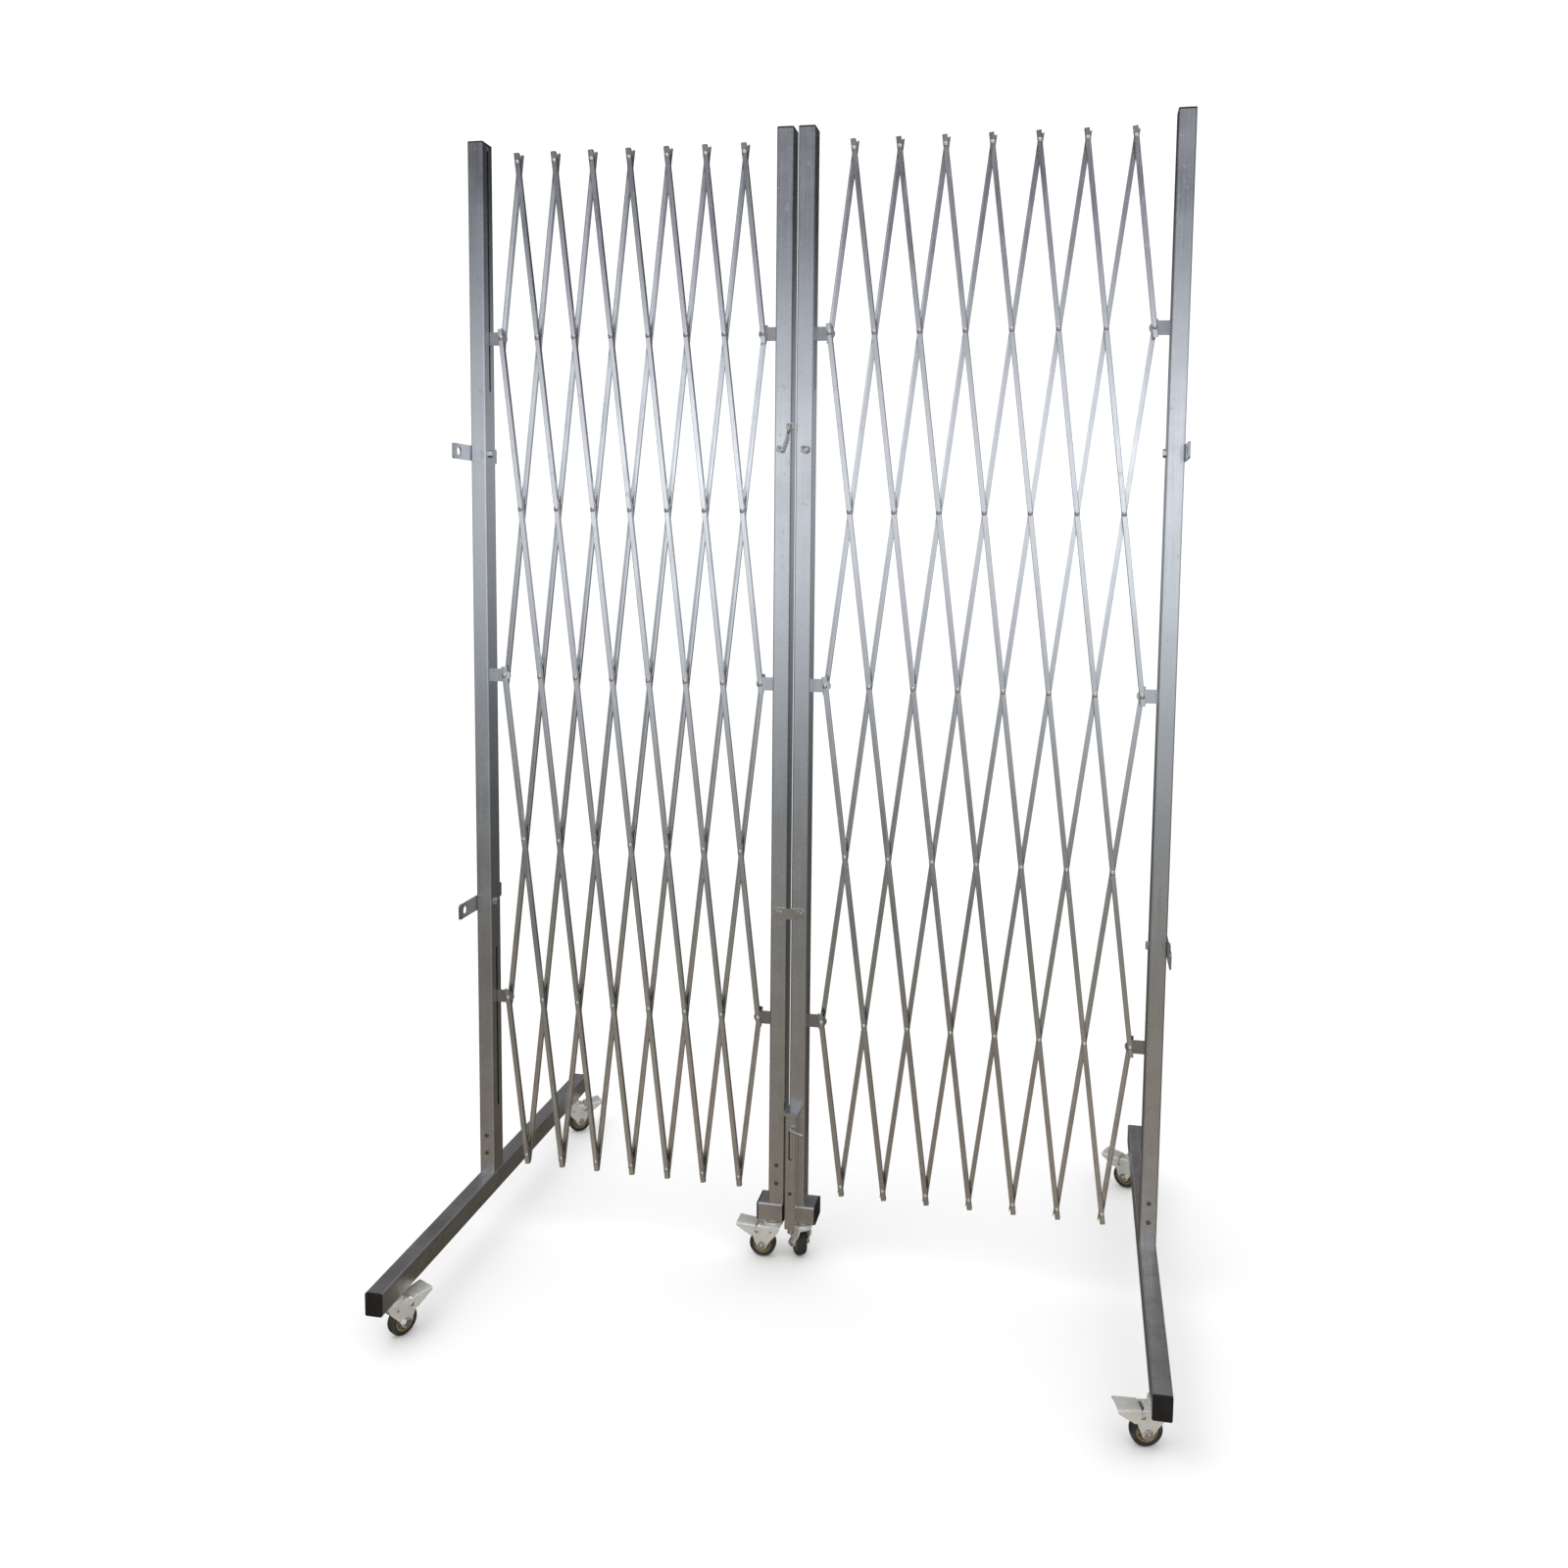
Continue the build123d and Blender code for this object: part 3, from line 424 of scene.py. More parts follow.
def paint(name: str, finish: Finish, zones: tuple[Zone, ...] = ()) -> bpy.types.Material:
    """Makes one material of a finish, with other finishes in its zones.

    Args:
        name: the material's name.
        finish: what most of it is.
        zones: parts that are something else.

    Returns:
        The material.
    """
    material = bpy.data.materials.new(name)
    material.use_nodes = True
    graph = Graph(material.node_tree)
    point = graph.place()
    surface = finish.value.surface(graph, point)
    for zone in zones:
        surface = surface.under(zone.finish.value.surface(graph, point), zone.mask(graph, point))
    bump = {"Height": surface.height, "Strength": 0.08, "Distance": 0.0002}
    sockets = {
        "Base Color": surface.colour,
        "Metallic": surface.metallic,
        "Roughness": surface.roughness,
        "Normal": graph.node("ShaderNodeBump", {}, bump, "Normal"),
    }
    shader = graph.node("ShaderNodeBsdfPrincipled", {}, sockets)
    graph.node("ShaderNodeOutputMaterial", {}, {"Surface": shader})
    return material


# ---- mesh forms --------------------------------------------------------------------
def rounded_loop(width: float, depth: float, corner: float, steps: int = 5) -> list[Pair]:
    """Outline of a rectangle with round corners, anticlockwise.

    Args:
        width: its size along the first axis.
        depth: its size along the second axis.
        corner: the corners' radius.
        steps: edges in each corner.

    Returns:
        The outline's points.
    """
    points = []
    for turn, (side, up) in enumerate(((1, 1), (-1, 1), (-1, -1), (1, -1))):
        x, y = side * (width / 2 - corner), up * (depth / 2 - corner)
        for step in range(steps + 1):
            angle = (turn + step / steps) * math.pi / 2
            points.append((x + corner * math.cos(angle), y + corner * math.sin(angle)))
    return points


def between(table: list[Pair], at: float) -> float:
    """Reads a table of (place, value) pairs with straight lines between its rows.

    Args:
        table: pairs in rising order of place.
        at: the place to read.

    Returns:
        The value there.
    """
    if at <= table[0][0]:
        return table[0][1]
    for (low, start), (high, end) in zip(table, table[1:]):
        if at <= high:
            return start + (end - start) * (at - low) / (high - low)
    return table[-1][1]


class Form:
    """A mesh under construction, in millimetres."""

    def __init__(self) -> None:
        """Starts empty."""
        self.points: list[Vector] = []
        self.faces: list[list[int]] = []

    def loft(self, rings: list[Ring], closed: bool = False, capped: bool = True) -> "Form":
        """Joins rings of the same number of points.

        Args:
            rings: closed loops of points.
            closed: whether the last ring joins the first.
            capped: whether the end rings are filled.

        Returns:
            This form.
        """
        start, count = len(self.points), len(rings[0])
        self.points += [Vector(point) for ring in rings for point in ring]
        spans = len(rings) if closed else len(rings) - 1
        for span in range(spans):
            here, there = start + span * count, start + (span + 1) % len(rings) * count
            for step in range(count):
                after = (step + 1) % count
                self.faces.append([here + step, here + after, there + after, there + step])
        if capped and not closed:
            self.faces.append([start + step for step in reversed(range(count))])
            self.faces.append([start + (len(rings) - 1) * count + step for step in range(count)])
        return self

    def lathe(self, profile: list[Pair], steps: int = 48, closed: bool = False) -> "Form":
        """Turns a profile of (radius, height) about Z, from the bottom up.

        Args:
            profile: the outline's points.
            steps: how many round.
            closed: whether the profile is a ring, as for a tyre.

        Returns:
            This form.
        """
        rings = []
        for radius, height in profile:
            turns = [step / steps * math.tau for step in range(steps)]
            rings.append([(radius * math.cos(turn), radius * math.sin(turn), height) for turn in turns])
        return self.loft(rings, closed)

    def prism(self, outline: list[Pair], low: float, high: float) -> "Form":
        """Raises an anticlockwise outline from one height to another."""
        return self.loft([[(x, y, height) for x, y in outline] for height in (low, high)])

    def sheet(self, rows: list[Ring], keep: list[list[bool]] | None = None) -> "Form":
        """A grid of points as one open sheet.

        Args:
            rows: the grid.
            keep: which of its faces are made, or None for all.

        Returns:
            This form.
        """
        start, count = len(self.points), len(rows[0])
        self.points += [Vector(point) for row in rows for point in row]
        for row in range(len(rows) - 1):
            for step in range(count - 1):
                if keep is None or keep[row][step]:
                    corner = start + row * count + step
                    self.faces.append([corner, corner + 1, corner + count + 1, corner + count])
        return self

    def turned(self, matrix: Matrix) -> "Form":
        """Moves every point made so far."""
        self.points = [matrix @ point for point in self.points]
        return self

    def add(self, other: "Form") -> "Form":
        """Takes in another form's faces."""
        start = len(self.points)
        self.points += other.points
        self.faces += [[start + index for index in face] for face in other.faces]
        return self

    def piece(
        self,
        name: str,
        place: Matrix,
        material: bpy.types.Material,
        finish: Finish,
        body: str,
        bevel: float = 0.3,
        thickness: float = 0.0,
    ) -> bpy.types.Object:
        """Makes the object, its material and what it rides on.

        Args:
            name: the piece's name.
            place: where it goes, in metres.
            material: its material.
            finish: not used.
            body: the body it rides on.
            bevel: width of its broken edges in millimetres, or 0.
            thickness: sheet thickness in millimetres, or 0 for a solid.

        Returns:
            The object.
        """
        mesh = bpy.data.meshes.new(name)
        scaled = [place @ (point * MM) for point in self.points]
        mesh.from_pydata([tuple(point) for point in scaled], [], self.faces)
        solid = bmesh.new()
        solid.from_mesh(mesh)
        loose = [vertex for vertex in solid.verts if not vertex.link_faces]
        bmesh.ops.delete(solid, geom=loose, context="VERTS")
        bmesh.ops.remove_doubles(solid, verts=solid.verts, dist=1e-6)
        if not thickness:
            bmesh.ops.recalc_face_normals(solid, faces=solid.faces)
        solid.to_mesh(mesh)
        solid.free()
        mesh.shade_smooth()
        mesh.set_sharp_from_angle(angle=math.radians(38))
        made = bpy.data.objects.new(name, mesh)
        bpy.context.scene.collection.objects.link(made)
        made.data.materials.append(material)
        if thickness:
            shell = made.modifiers.new("thickness", "SOLIDIFY")
            shell.thickness = thickness * MM
            shell.offset = -1
        if bevel:
            edge = made.modifiers.new("edges", "BEVEL")
            edge.width = bevel * MM
            edge.segments = 2
            edge.limit_method = "ANGLE"
            edge.angle_limit = math.radians(38)
            edge.harden_normals = True
        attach(made, body)
        return made


# ---- castors -----------------------------------------------------------------------
@dataclass
class Castor:
    """A braked swivel castor. Its own X is the way its wheel trails, and 0 is its mounting face."""

    name: str
    body: str
    node: str
    spot: tuple[float, float, float]
    heading: float
    materials: dict[Finish, bpy.types.Material]
    spacer: float = 0.0
    wheel_radius: float = 25.0
    wheel_width: float = 18.0
    tyre: float = 8.0
    trail: float = 20.0
    axle: float = -48.5
    race_radius: float = 19.0
    race_height: float = 9.0
    fork_half: float = 13.5
    fork_sheet: float = 2.5
    pedal_half: float = 16.1
    pedal_tip_half: float = 18.5
    pedal_sheet: float = 2.0
    front_edge: list[Pair] = field(
        default_factory=lambda: [
            (-57.5, 22.0), (-56.2, 26.0), (-53.0, 28.6), (-48.0, 30.2), (-38.0, 35.0),
            (-30.0, 37.6), (-24.0, 38.0), (-17.0, 35.0), (-12.0, 30.0), (-9.0, 26.0),
        ]
    )
    rear_edge: list[Pair] = field(
        default_factory=lambda: [
            (-57.5, 18.0), (-56.2, 14.5), (-53.0, 11.6), (-48.0, 9.6), (-40.0, 4.4),
            (-30.0, -4.5), (-22.0, -11.0), (-16.0, -13.6), (-9.0, -15.0),
        ]
    )

    def place(self) -> Matrix:
        """The castor's place in the frame."""
        return Matrix.Translation(Vector(self.spot)) @ Matrix.Rotation(math.radians(self.heading), 4, "Z")

    def across(self) -> Matrix:
        """Lays a turned form on the axle."""
        return Matrix.Translation((self.trail, 0, self.axle)) @ Matrix.Rotation(math.radians(-90), 4, "X")

    def put(
        self, form: Form, part: str, finish: Finish, bevel: float = 0.3, thickness: float = 0.0
    ) -> bpy.types.Object:
        """Makes one of the castor's pieces."""
        name = f"{self.name}_{part}"
        return form.piece(name, self.place(), self.materials[finish], finish, self.body, bevel, thickness)

    def build_race(self) -> bpy.types.Object:
        """The ball race: two pressed dishes with a groove between, and a spacer above where there is one."""
        outer = self.race_radius
        profile = [
            (6.0, -self.race_height), (outer - 3.2, -self.race_height), (outer - 1.2, -8.2),
            (outer - 0.4, -7.0), (outer - 0.6, -6.0), (outer - 1.9, -5.2), (outer - 2.2, -4.7),
            (outer - 1.6, -4.2), (outer - 0.2, -3.6),
            (outer, -2.7), (outer - 0.3, -1.4), (outer - 1.3, -0.4), (outer - 2.6, 0.0), (6.0, 0.0),
        ]
        form = Form().lathe(profile, 56)
        if self.spacer:
            radius = outer * 0.6
            spacer = [(radius, 0.0), (radius, self.spacer - 0.4), (radius - 0.4, self.spacer)]
            form.add(Form().lathe(spacer, 40))
        return self.put(form, "race", Finish.CASTOR, 0.0)

    def build_fork(self) -> bpy.types.Object:
        """The pressed fork: a round crown that folds down into two cheeks, narrowing to the axle."""
        bend = 5.0
        half, top, low = self.fork_half, -self.race_height, -57.5
        side = [(half, low + (top - bend - low) * step / 14) for step in range(15)]
        for step in range(1, 6):
            angle = step / 5 * math.pi / 2
            side.append((half - bend + bend * math.cos(angle), top - bend + bend * math.sin(angle)))
        line = [(-y, z) for y, z in side] + [(-half / 3, top), (half / 3, top)] + side[::-1]
        columns = 12
        rows = []
        for y, z in line:
            start, end = between(self.rear_edge, z), between(self.front_edge, z)
            rows.append([(start + (end - start) * column / columns, y, z) for column in range(columns + 1)])
        form = Form().sheet(rows)
        fork = self.put(form, "fork", Finish.CASTOR, 0.35, self.fork_sheet)
        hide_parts(self.node)
        return fork

    def build_studs(self) -> bpy.types.Object:
        """The brake's pivot studs, domed, on both cheeks."""
        form = Form()
        for way in (-1, 1):
            for x, z, radius in ((29.0, -20.5, 3.6), (3.0, -21.0, 2.3)):
                profile = [(radius, -2.0), (radius, 0.5), (radius * 0.8, 1.3), (radius * 0.3, 1.7)]
                dome = Form().lathe(profile, 20)
                turn = Matrix.Rotation(math.radians(-90 * way), 4, "X")
                form.add(dome.turned(Matrix.Translation((x, way * self.stud_face(x), z)) @ turn))
        return self.put(form, "studs", Finish.BRIGHT, 0.0)

    def stud_face(self, x: float) -> float:
        """How far out the face under a stud is: the pedal's flange or the fork's cheek."""
        return self.pedal_half if x > self.trail else self.fork_half

    def build_tyre(self) -> bpy.types.Object:
        """The solid tyre, crowned, with rounded shoulders and a shallow parting line."""
        radius, half = self.wheel_radius, self.wheel_width / 2
        inside = radius - self.tyre
        shoulder = [
            (inside, -half + 0.8), (inside + 0.8, -half), (radius - 4.2, -half), (radius - 2.0, -half + 0.8),
            (radius - 0.7, -half + 2.3), (radius - 0.15, -half + 4.2), (radius, -1.2), (radius - 0.15, -0.4),
        ]
        profile = shoulder + [(across, -along) for across, along in reversed(shoulder)]
        form = Form().lathe(profile, 72, closed=True).turned(self.across())
        return self.put(form, "tyre", Finish.TYRE, 0.0)

    def build_core(self) -> bpy.types.Object:
        """The moulded wheel core: a rim, a web with ribs and a hub."""
        inside, rim = self.wheel_radius - self.tyre, self.wheel_width / 2 - 1.2
        side = [(4.2, -10.5), (7.6, -10.5), (8.0, -10.1), (8.2, -4.6), (8.8, -4.0)]
        side += [(13.4, -4.0), (14.0, -4.6), (14.6, -rim), (inside, -rim)]
        profile = side + [(across, -along) for across, along in reversed(side)]
        form = Form().lathe(profile, 60, closed=True)
        for index in range(8):
            rib = Form().prism([(7.6, -0.9), (14.6, -0.9), (14.6, 0.9), (7.6, 0.9)], -6.6, 6.6)
            form.add(rib.turned(Matrix.Rotation(index * math.pi / 4, 4, "Z")))
        return self.put(form.turned(self.across()), "core", Finish.CORE, 0.0)

    def build_axle(self) -> bpy.types.Object:
        """The axle bolt with its hexagon head, nut and threaded end."""
        face, flats = self.fork_half, 13.0
        corner = flats / math.sqrt(3)
        turns = [step * math.pi / 3 for step in range(6)]
        hexagon = [(corner * math.cos(turn), corner * math.sin(turn)) for turn in turns]
        form = Form().prism(hexagon, -face - 5.0, -face).prism(hexagon, face, face + 4.4)
        form.add(Form().lathe([(7.6, -face - 0.7), (7.6, -face), (4.0, -face)], 32))
        form.add(Form().lathe([(4.0, face), (7.6, face), (7.6, face + 0.7)], 32))
        thread = [(4.0, -face)]
        for turn in range(7):
            thread += [(3.6, face + turn), (4.0, face + turn + 0.5)]
        thread += [(3.2, face + 7.2)]
        form.add(Form().lathe(thread, 28))
        return self.put(form.turned(self.across()), "axle", Finish.BRIGHT, 0.5)

    def build_pedal(self) -> bpy.types.Object:
        """The brake pedal: a folded tread that widens to its tip, with flanges down beside the fork."""
        under = [(22.0, -14.0), (24.0, -25.0), (27.0, -31.0), (42.0, -29.0), (56.0, -19.5)]
        under += [(66.0, -12.6), (68.0, -10.8)]
        stations = [22.0, 23.0, 24.5, 27.0, 30.0, 32.0, 36.0, 42.0, 49.0, 56.0, 62.0, 66.0, 68.0]
        bend, crown = 3.0, []
        rows, keep = [], []
        for x in stations:
            half = between([(22.0, self.pedal_half), (36.0, self.pedal_half), (68.0, self.pedal_tip_half)], x)
            top, low = -9.9 + (x - 22.0) * 0.085, between(under, x)
            reach = max(top - bend - low, 0.4)
            side = [(half, top - bend - reach + reach * step / 5) for step in range(6)]
            for step in range(1, 5):
                angle = step / 4 * math.pi / 2
                side.append((half - bend + bend * math.cos(angle), top - bend + bend * math.sin(angle)))
            crown = len(side)
            line = [(-y, z) for y, z in side] + [(-half / 3, top), (half / 3, top)] + side[::-1]
            rows.append([(x, y, z) for y, z in line])
            keep.append([x >= 32.0 or not crown - 5 <= step <= crown + 6 for step in range(len(line) - 1)])
        sheet = Form().sheet([row[::-1] for row in rows], [row[::-1] for row in keep])
        return self.put(sheet, "pedal", Finish.CASTOR, 0.3, self.pedal_sheet)

    def build(self) -> None:
        """Builds every piece of the castor."""
        pieces = [self.build_race(), self.build_fork(), self.build_studs(), self.build_tyre()]
        pieces += [self.build_core(), self.build_axle(), self.build_pedal()]
        LOG.info("%s: %s", self.name, ", ".join(piece.name for piece in pieces))


# ---- short feet --------------------------------------------------------------------
@dataclass
class ShortFoot:
    """The box foot under an inner post, open along X and capped at both ends."""

    name: str
    start: float
    end: float
    materials: dict[Finish, bpy.types.Material]
    body: str = "centre_frame"
    depth: float = 50.0
    height: float = 34.0
    top: float = 113.5
    middle_y: float = -8.0
    wall: float = 2.0
    corner: float = 3.4
    cap: float = 3.0

    def ring(self, x: float, inset: float) -> list[tuple[float, float, float]]:
        """The tube's outline at one place along X."""
        loop = rounded_loop(self.depth - 2 * inset, self.height - 2 * inset, max(self.corner - inset, 0.8), 6)
        return [(x, self.middle_y + y, self.top - self.height / 2 + z) for y, z in loop]

    def build_tube(self) -> bpy.types.Object:
        """The tube between its caps."""
        low, high = self.start + self.cap, self.end - self.cap
        walls = ((low, 0.0), (high, 0.0), (high, self.wall), (low, self.wall))
        rings = [self.ring(x, inset) for x, inset in walls]
        form = Form().loft(rings, closed=True)
        finish = Finish.SHORT_FOOT
        tube = form.piece(f"{self.name}_tube", Matrix(), self.materials[finish], finish, self.body, 0.3)
        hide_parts("centre_feet")
        return tube

    def build_caps(self) -> bpy.types.Object:
        """The two plastic caps, each with a softened rim and its plug inside the tube."""
        form = Form()
        for outer, way in ((self.start, 1.0), (self.end, -1.0)):
            plate = [(0.0, 0.9), (0.25, 0.35), (0.9, 0.0), (self.cap, 0.0)]
            rings = [self.ring(outer + way * along, inset) for along, inset in plate]
            rings.append(self.ring(outer + way * self.cap, self.wall + 0.3))
            rings.append(self.ring(outer + way * 12.0, self.wall + 0.5))
            form.loft(rings)
        finish = Finish.CAP
        return form.piece(f"{self.name}_caps", Matrix(), self.materials[finish], finish, self.body, 0.0)

    def build(self) -> None:
        """Builds the tube and its caps."""
        LOG.info("%s, %s", self.build_tube().name, self.build_caps().name)


# ---- frame parts that keep their shape ----------------------------------------------
@dataclass
class FrameParts:
    """The posts, feet, bars, brackets and latches that come with the frame."""

    nodes: dict[str, bpy.types.Object]
    front: float = -0.0311
    cap_bottom: float = 2.0635
    foot_cap: float = 0.442
    web: float = -0.0207
    back_web: float = -0.0013
    outer_face: float = 0.6432
    lid_top: float = 0.35
    screws_top: float = 0.21
    housing_front: float = -0.0533
    housing_screw_top: float = 0.2

    def post_zones(self, name: str) -> tuple[Zone, ...]:
        """What else is on a post: its cap, screws, straps, screw eye and studs.

        Args:
            name: the post's node.

        Returns:
            Its zones, the topmost last.
        """
        cap = Zone(Finish.CAP, (Limit(Axis.Z, low=self.cap_bottom),))
        fittings = Zone(Finish.BRIGHT, (Limit(Axis.Y, high=self.front), Limit(Axis.Z, low=self.lid_top)))
        screws = Zone(Finish.SCREW, (Limit(Axis.Y, high=self.front), Limit(Axis.Z, high=self.screws_top)))
        if name.endswith("outer_post"):
            straps = Zone(Finish.STRAP, (Limit(Axis.X, low=self.outer_face, sized=True),))
            return cap, screws, straps
        if name == "right_inner_post":
            limits = (Limit(Axis.Y, high=self.housing_front), Limit(Axis.Z, high=self.housing_screw_top))
            screw = Zone(Finish.SCREW, limits)
            return cap, fittings, screw
        return cap, fittings, screws

    def dress(self) -> None:
        """Gives every node its material."""
        rivets = Zone(Finish.BRIGHT, (Limit(Axis.Y, high=self.web),))
        tails = Zone(Finish.BRIGHT, (Limit(Axis.Y, low=self.back_web),))
        foot_caps = Zone(Finish.CAP, (Limit(Axis.Y, low=self.foot_cap, sized=True),))
        shared = {
            "front_bar": (Finish.BAR, paint("front_bar", Finish.BAR, (rivets, tails))),
            "rear_bar": (Finish.BAR, paint("rear_bar", Finish.BAR)),
            "slider": (Finish.STRAP, paint("slider", Finish.STRAP)),
            "foot": (Finish.FOOT, paint("long_foot", Finish.FOOT, (foot_caps,))),
            "fitting": (Finish.BRIGHT, paint("fitting", Finish.BRIGHT)),
        }
        for name, node in sorted(self.nodes.items()):
            if name.endswith("post"):
                finish, material = Finish.POST, paint(name, Finish.POST, self.post_zones(name))
            else:
                kinds = [kind for kind in shared if kind in name]
                finish, material = shared[kinds[0] if kinds else "fitting"]
            self.wear(node, material)
            LOG.info("%s in %s", name, material.name)

    @staticmethod
    def wear(node: bpy.types.Object, material: bpy.types.Material) -> None:
        """Puts a material on a frame node without touching its mesh."""
        if not node.material_slots:
            node.data.materials.append(material)
        for place in node.material_slots:
            place.link = "OBJECT"
            place.material = material


# ---- studio ------------------------------------------------------------------------
@dataclass
class Studio:
    """A pale floor and backdrop, a soft key light, and the room that bright metal mirrors."""

    floor_radius: float = 30.0
    room_radius: float = 9.0
    room_centre: tuple[float, float, float] = (0.0, 0.0, 1.2)
    band: list = field(
        default_factory=lambda: [
            (-0.62, (0.30, 0.265, 0.215)),
            (-0.44, (0.28, 0.25, 0.205)),
            (-0.35, (0.205, 0.195, 0.175)),
            (-0.25, (0.22, 0.218, 0.21)),
            (-0.176, (0.32, 0.335, 0.345)),
            (-0.09, (0.56, 0.60, 0.64)),
            (-0.02, (0.84, 0.88, 0.93)),
            (0.06, (1.08, 1.13, 1.19)),
            (0.13, (1.12, 1.16, 1.21)),
            (0.19, (0.80, 0.83, 0.90)),
            (0.25, (0.36, 0.37, 0.43)),
            (0.30, (0.15, 0.155, 0.175)),
            (0.37, (0.07, 0.07, 0.08)),
            (0.45, (0.20, 0.20, 0.21)),
            (0.60, (0.75, 0.76, 0.78)),
            (0.80, (0.90, 0.91, 0.93)),
            (0.98, (0.92, 0.93, 0.95)),
        ]
    )

    def build_floor(self) -> None:
        """The pale floor, a many-sided disc that mirrors nothing."""
        form = Form().lathe([(self.floor_radius * 1000, -2.0), (self.floor_radius * 1000, 0.0)], 64)
        mesh = bpy.data.meshes.new("floor")
        mesh.from_pydata([tuple(point * MM) for point in form.points], [], form.faces)
        floor = bpy.data.objects.new("floor", mesh)
        bpy.context.scene.collection.objects.link(floor)
        material = bpy.data.materials.new("floor")
        material.use_nodes = True
        graph = Graph(material.node_tree)
        cloud = graph.noise(graph.place(), 1.3, 3.0)
        colour = graph.blend((0.93, 0.93, 0.93), (0.96, 0.96, 0.96), cloud)
        shader = graph.node("ShaderNodeBsdfDiffuse", {}, {"Color": colour})
        graph.node("ShaderNodeOutputMaterial", {}, {"Surface": shader})
        mesh.materials.append(material)
        floor.visible_glossy = False

    def build_room(self) -> None:
        """The dim workshop round the gates, with a bright strip at eye height: only mirrored, never seen."""
        form = bmesh.new()
        bmesh.ops.create_icosphere(form, subdivisions=4, radius=self.room_radius)
        mesh = bpy.data.meshes.new("room")
        form.to_mesh(mesh)
        form.free()
        room = bpy.data.objects.new("room", mesh)
        room.location = self.room_centre
        bpy.context.scene.collection.objects.link(room)
        material = bpy.data.materials.new("room")
        material.use_nodes = True
        graph = Graph(material.node_tree)
        way = graph.node("ShaderNodeVectorMath", {"operation": "NORMALIZE"}, {0: graph.place()})
        x = graph.node("ShaderNodeSeparateXYZ", {}, {"Vector": way}, "X")
        y = graph.node("ShaderNodeSeparateXYZ", {}, {"Vector": way}, "Y")
        z = graph.node("ShaderNodeSeparateXYZ", {}, {"Vector": way}, "Z")
        stops = [((height + 1) / 2, colour) for height, colour in self.band]
        glow = graph.ramp((z + 1) * 0.5, stops)
        sides = [(-0.95, 0.40), (-0.62, 0.46), (-0.46, 0.60), (-0.38, 1.15), (-0.24, 1.10), (-0.19, 0.72)]
        sides += [(-0.02, 0.66), (0.05, 1.0), (0.09, 1.15), (0.5, 0.85), (0.95, 0.5)]
        side = graph.ramp((x + 1) * 0.5, [((at + 1) / 2, (value,) * 3) for at, value in sides])
        behind = graph.blend(side, (0.34, 0.34, 0.34), y.spread(-0.12, 0.18))
        sockets = {"Color": graph.multiply(glow, behind), "Strength": 1.0}
        shader = graph.node("ShaderNodeEmission", {}, sockets)
        graph.node("ShaderNodeOutputMaterial", {}, {"Surface": shader})
        mesh.materials.append(material)
        room.visible_camera = False
        room.visible_diffuse = False
        room.visible_shadow = False

    def build_light(self) -> None:
        """The even white surround and a large soft light above, to the left."""
        world = bpy.data.worlds.new("surround")
        world.use_nodes = True
        graph = Graph(world.node_tree)
        shader = graph.node("ShaderNodeBackground", {}, {"Color": (1, 1, 1, 1), "Strength": 1.12})
        graph.node("ShaderNodeOutputWorld", {}, {"Surface": shader})
        bpy.context.scene.world = world
        lamp = bpy.data.lights.new("key", "AREA")
        lamp.size = 2.6
        lamp.energy = 25.0
        key = bpy.data.objects.new("key", lamp)
        key.location = (-1.6, -1.2, 4.2)
        key.rotation_mode = "QUATERNION"
        key.rotation_quaternion = (key.location - Vector((0, 0, 0.4))).to_track_quat("Z", "Y")
        key.visible_glossy = False
        bpy.context.scene.collection.objects.link(key)

    def build(self) -> None:
        """Builds the whole studio."""
        self.build_floor()
        self.build_room()
        self.build_light()
        bpy.context.scene.view_settings.view_transform = "Standard"
        LOG.info("studio: floor, room and key light")


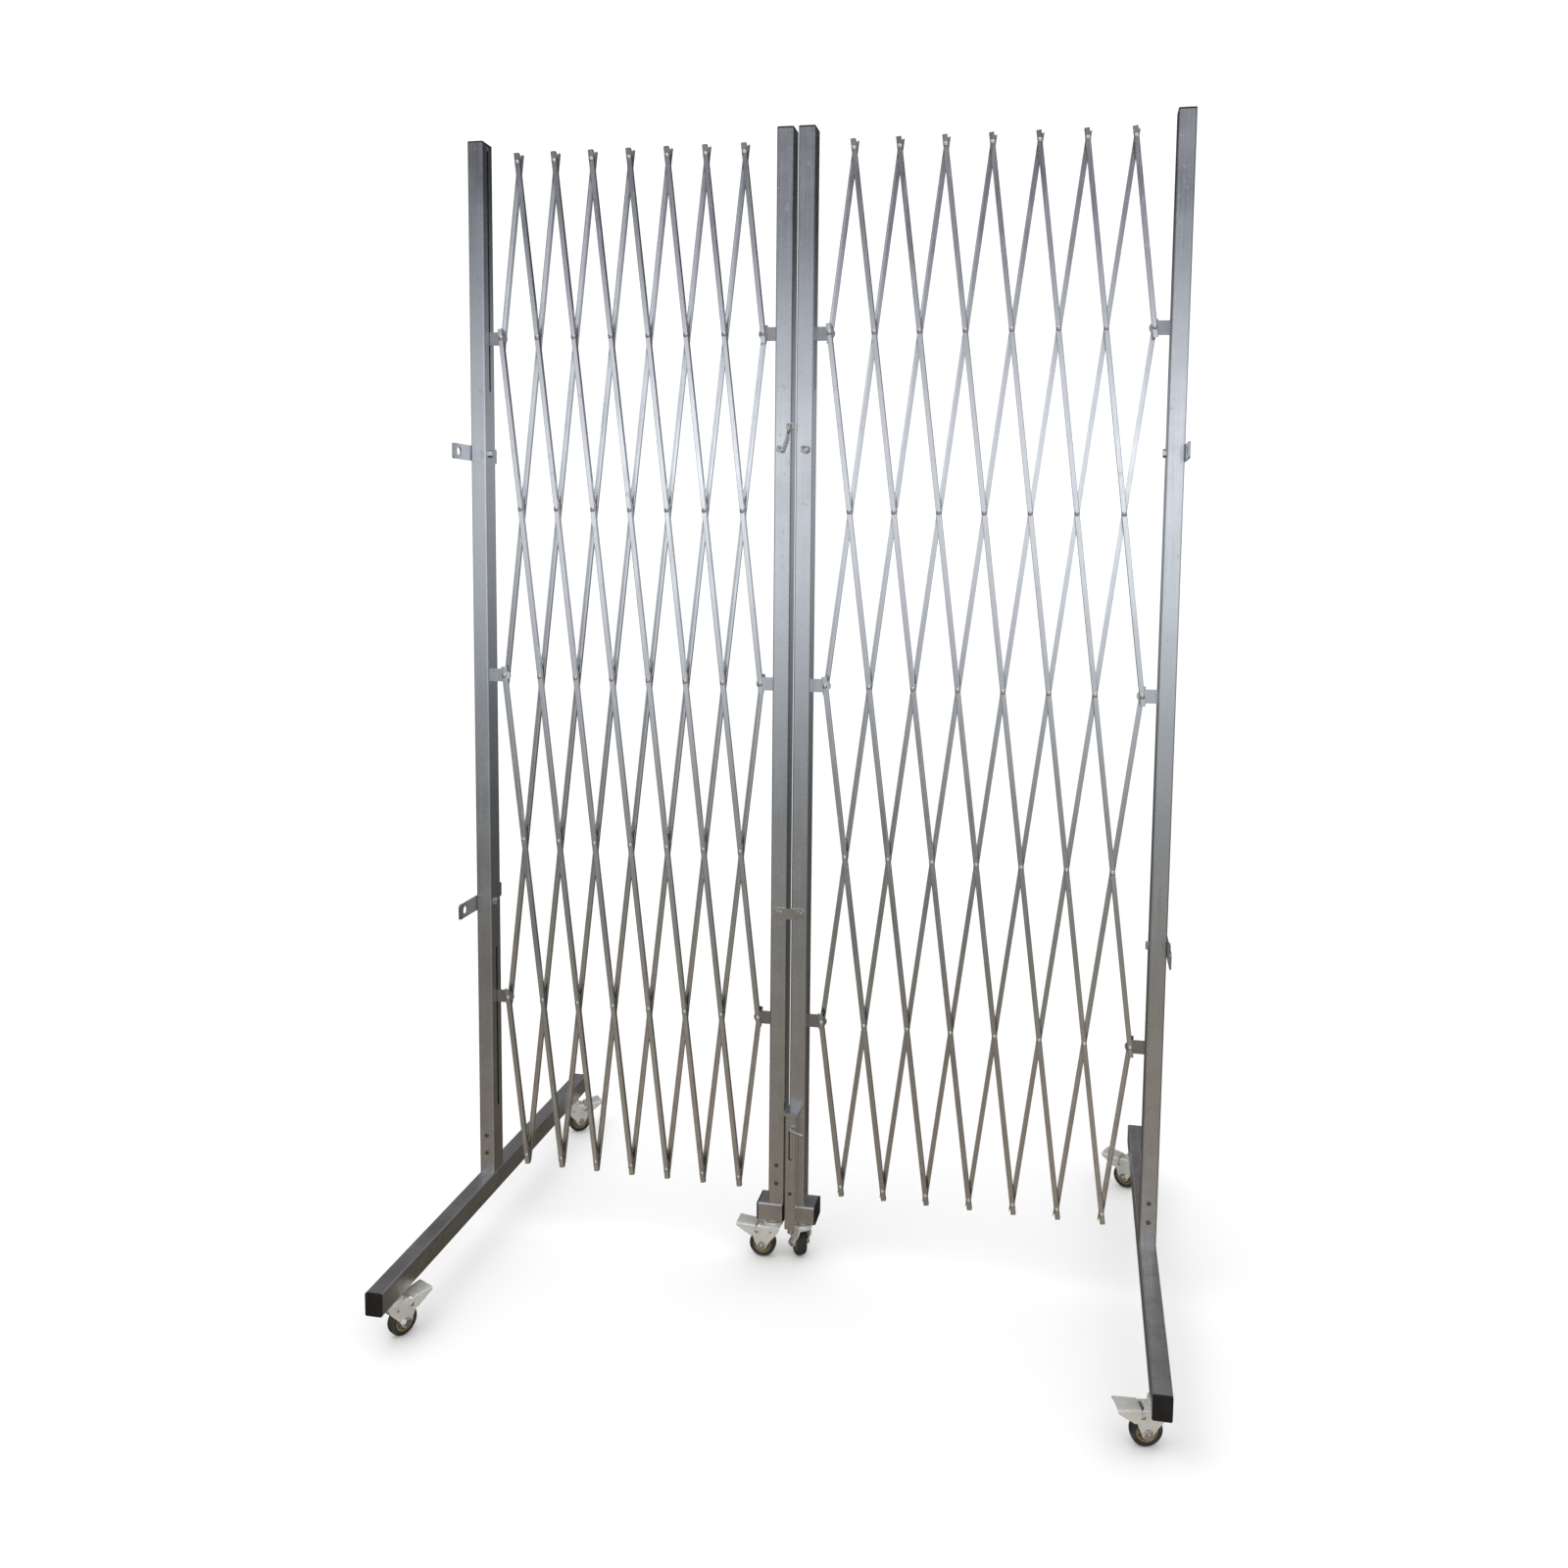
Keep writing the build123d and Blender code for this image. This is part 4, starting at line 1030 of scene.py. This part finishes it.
@dataclass(frozen=True)
class Viewpoint:
    """Where the gates are seen from: eye place, right and up directions, and the lens."""

    eye: tuple[float, float, float] = (0.46617, -2.25629, 1.34266)
    right: tuple[float, float, float] = (0.983099, 0.182633, 0.012718)
    up: tuple[float, float, float] = (-0.028773, 0.08553, 0.99592)
    lens: float = 29.215
    shift: Pair = (-0.0343, -0.0794)

    def build(self) -> None:
        """Makes the camera."""
        data = bpy.data.cameras.new("camera")
        data.sensor_width = 36.0
        data.lens = self.lens
        data.shift_x, data.shift_y = self.shift
        camera = bpy.data.objects.new("camera", data)
        right, up = Vector(self.right).normalized(), Vector(self.up).normalized()
        turn = Matrix((right, up, right.cross(up))).transposed().to_4x4()
        camera.matrix_world = Matrix.Translation(Vector(self.eye)) @ turn
        bpy.context.scene.collection.objects.link(camera)
        bpy.context.scene.camera = camera


def castors(materials: dict[Finish, bpy.types.Material]) -> list[Castor]:
    """The six castors, two on each long foot and one on each short foot."""
    made = []
    headings = {"left": (64.0, 38.0), "right": (195.0, 156.0)}
    inset, mount = 0.056, 0.0735
    for side, (front, rear) in headings.items():
        low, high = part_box(f"{side}_foot")
        x = (low.x + high.x) / 2
        body, node = f"{side}_outer_frame", f"{side}_castors"
        made.append(Castor(f"{side}_front_castor", body, node, (x, low.y + inset, mount), front, materials))
        made.append(Castor(f"{side}_rear_castor", body, node, (x, high.y - inset, mount), rear, materials))
    for side, x, heading in (("left", -0.058, 180.0), ("right", -0.0015, 121.0)):
        spot = (x, -0.011, mount)
        name = f"{side}_inner_castor"
        made.append(Castor(name, "centre_frame", "centre_feet", spot, heading, materials, 6.0))
    return made


def main() -> None:
    """Builds the gates' looks and the studio."""
    logging.basicConfig(level=logging.INFO, format="%(name)s: %(message)s")
    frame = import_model()
    FrameParts(frame["nodes"]).dress()
    own = (Finish.CASTOR, Finish.BRIGHT, Finish.TYRE, Finish.CORE, Finish.SHORT_FOOT, Finish.CAP)
    materials = {finish: paint(f"made_{finish.name.lower()}", finish) for finish in own}
    for castor in castors(materials):
        castor.build()
    ShortFoot("left_short_foot", -86.0, -34.0, materials).build()
    ShortFoot("right_short_foot", -25.5, 26.5, materials).build()
    Studio().build()
    Viewpoint().build()


if __name__ == "__main__":
    main()
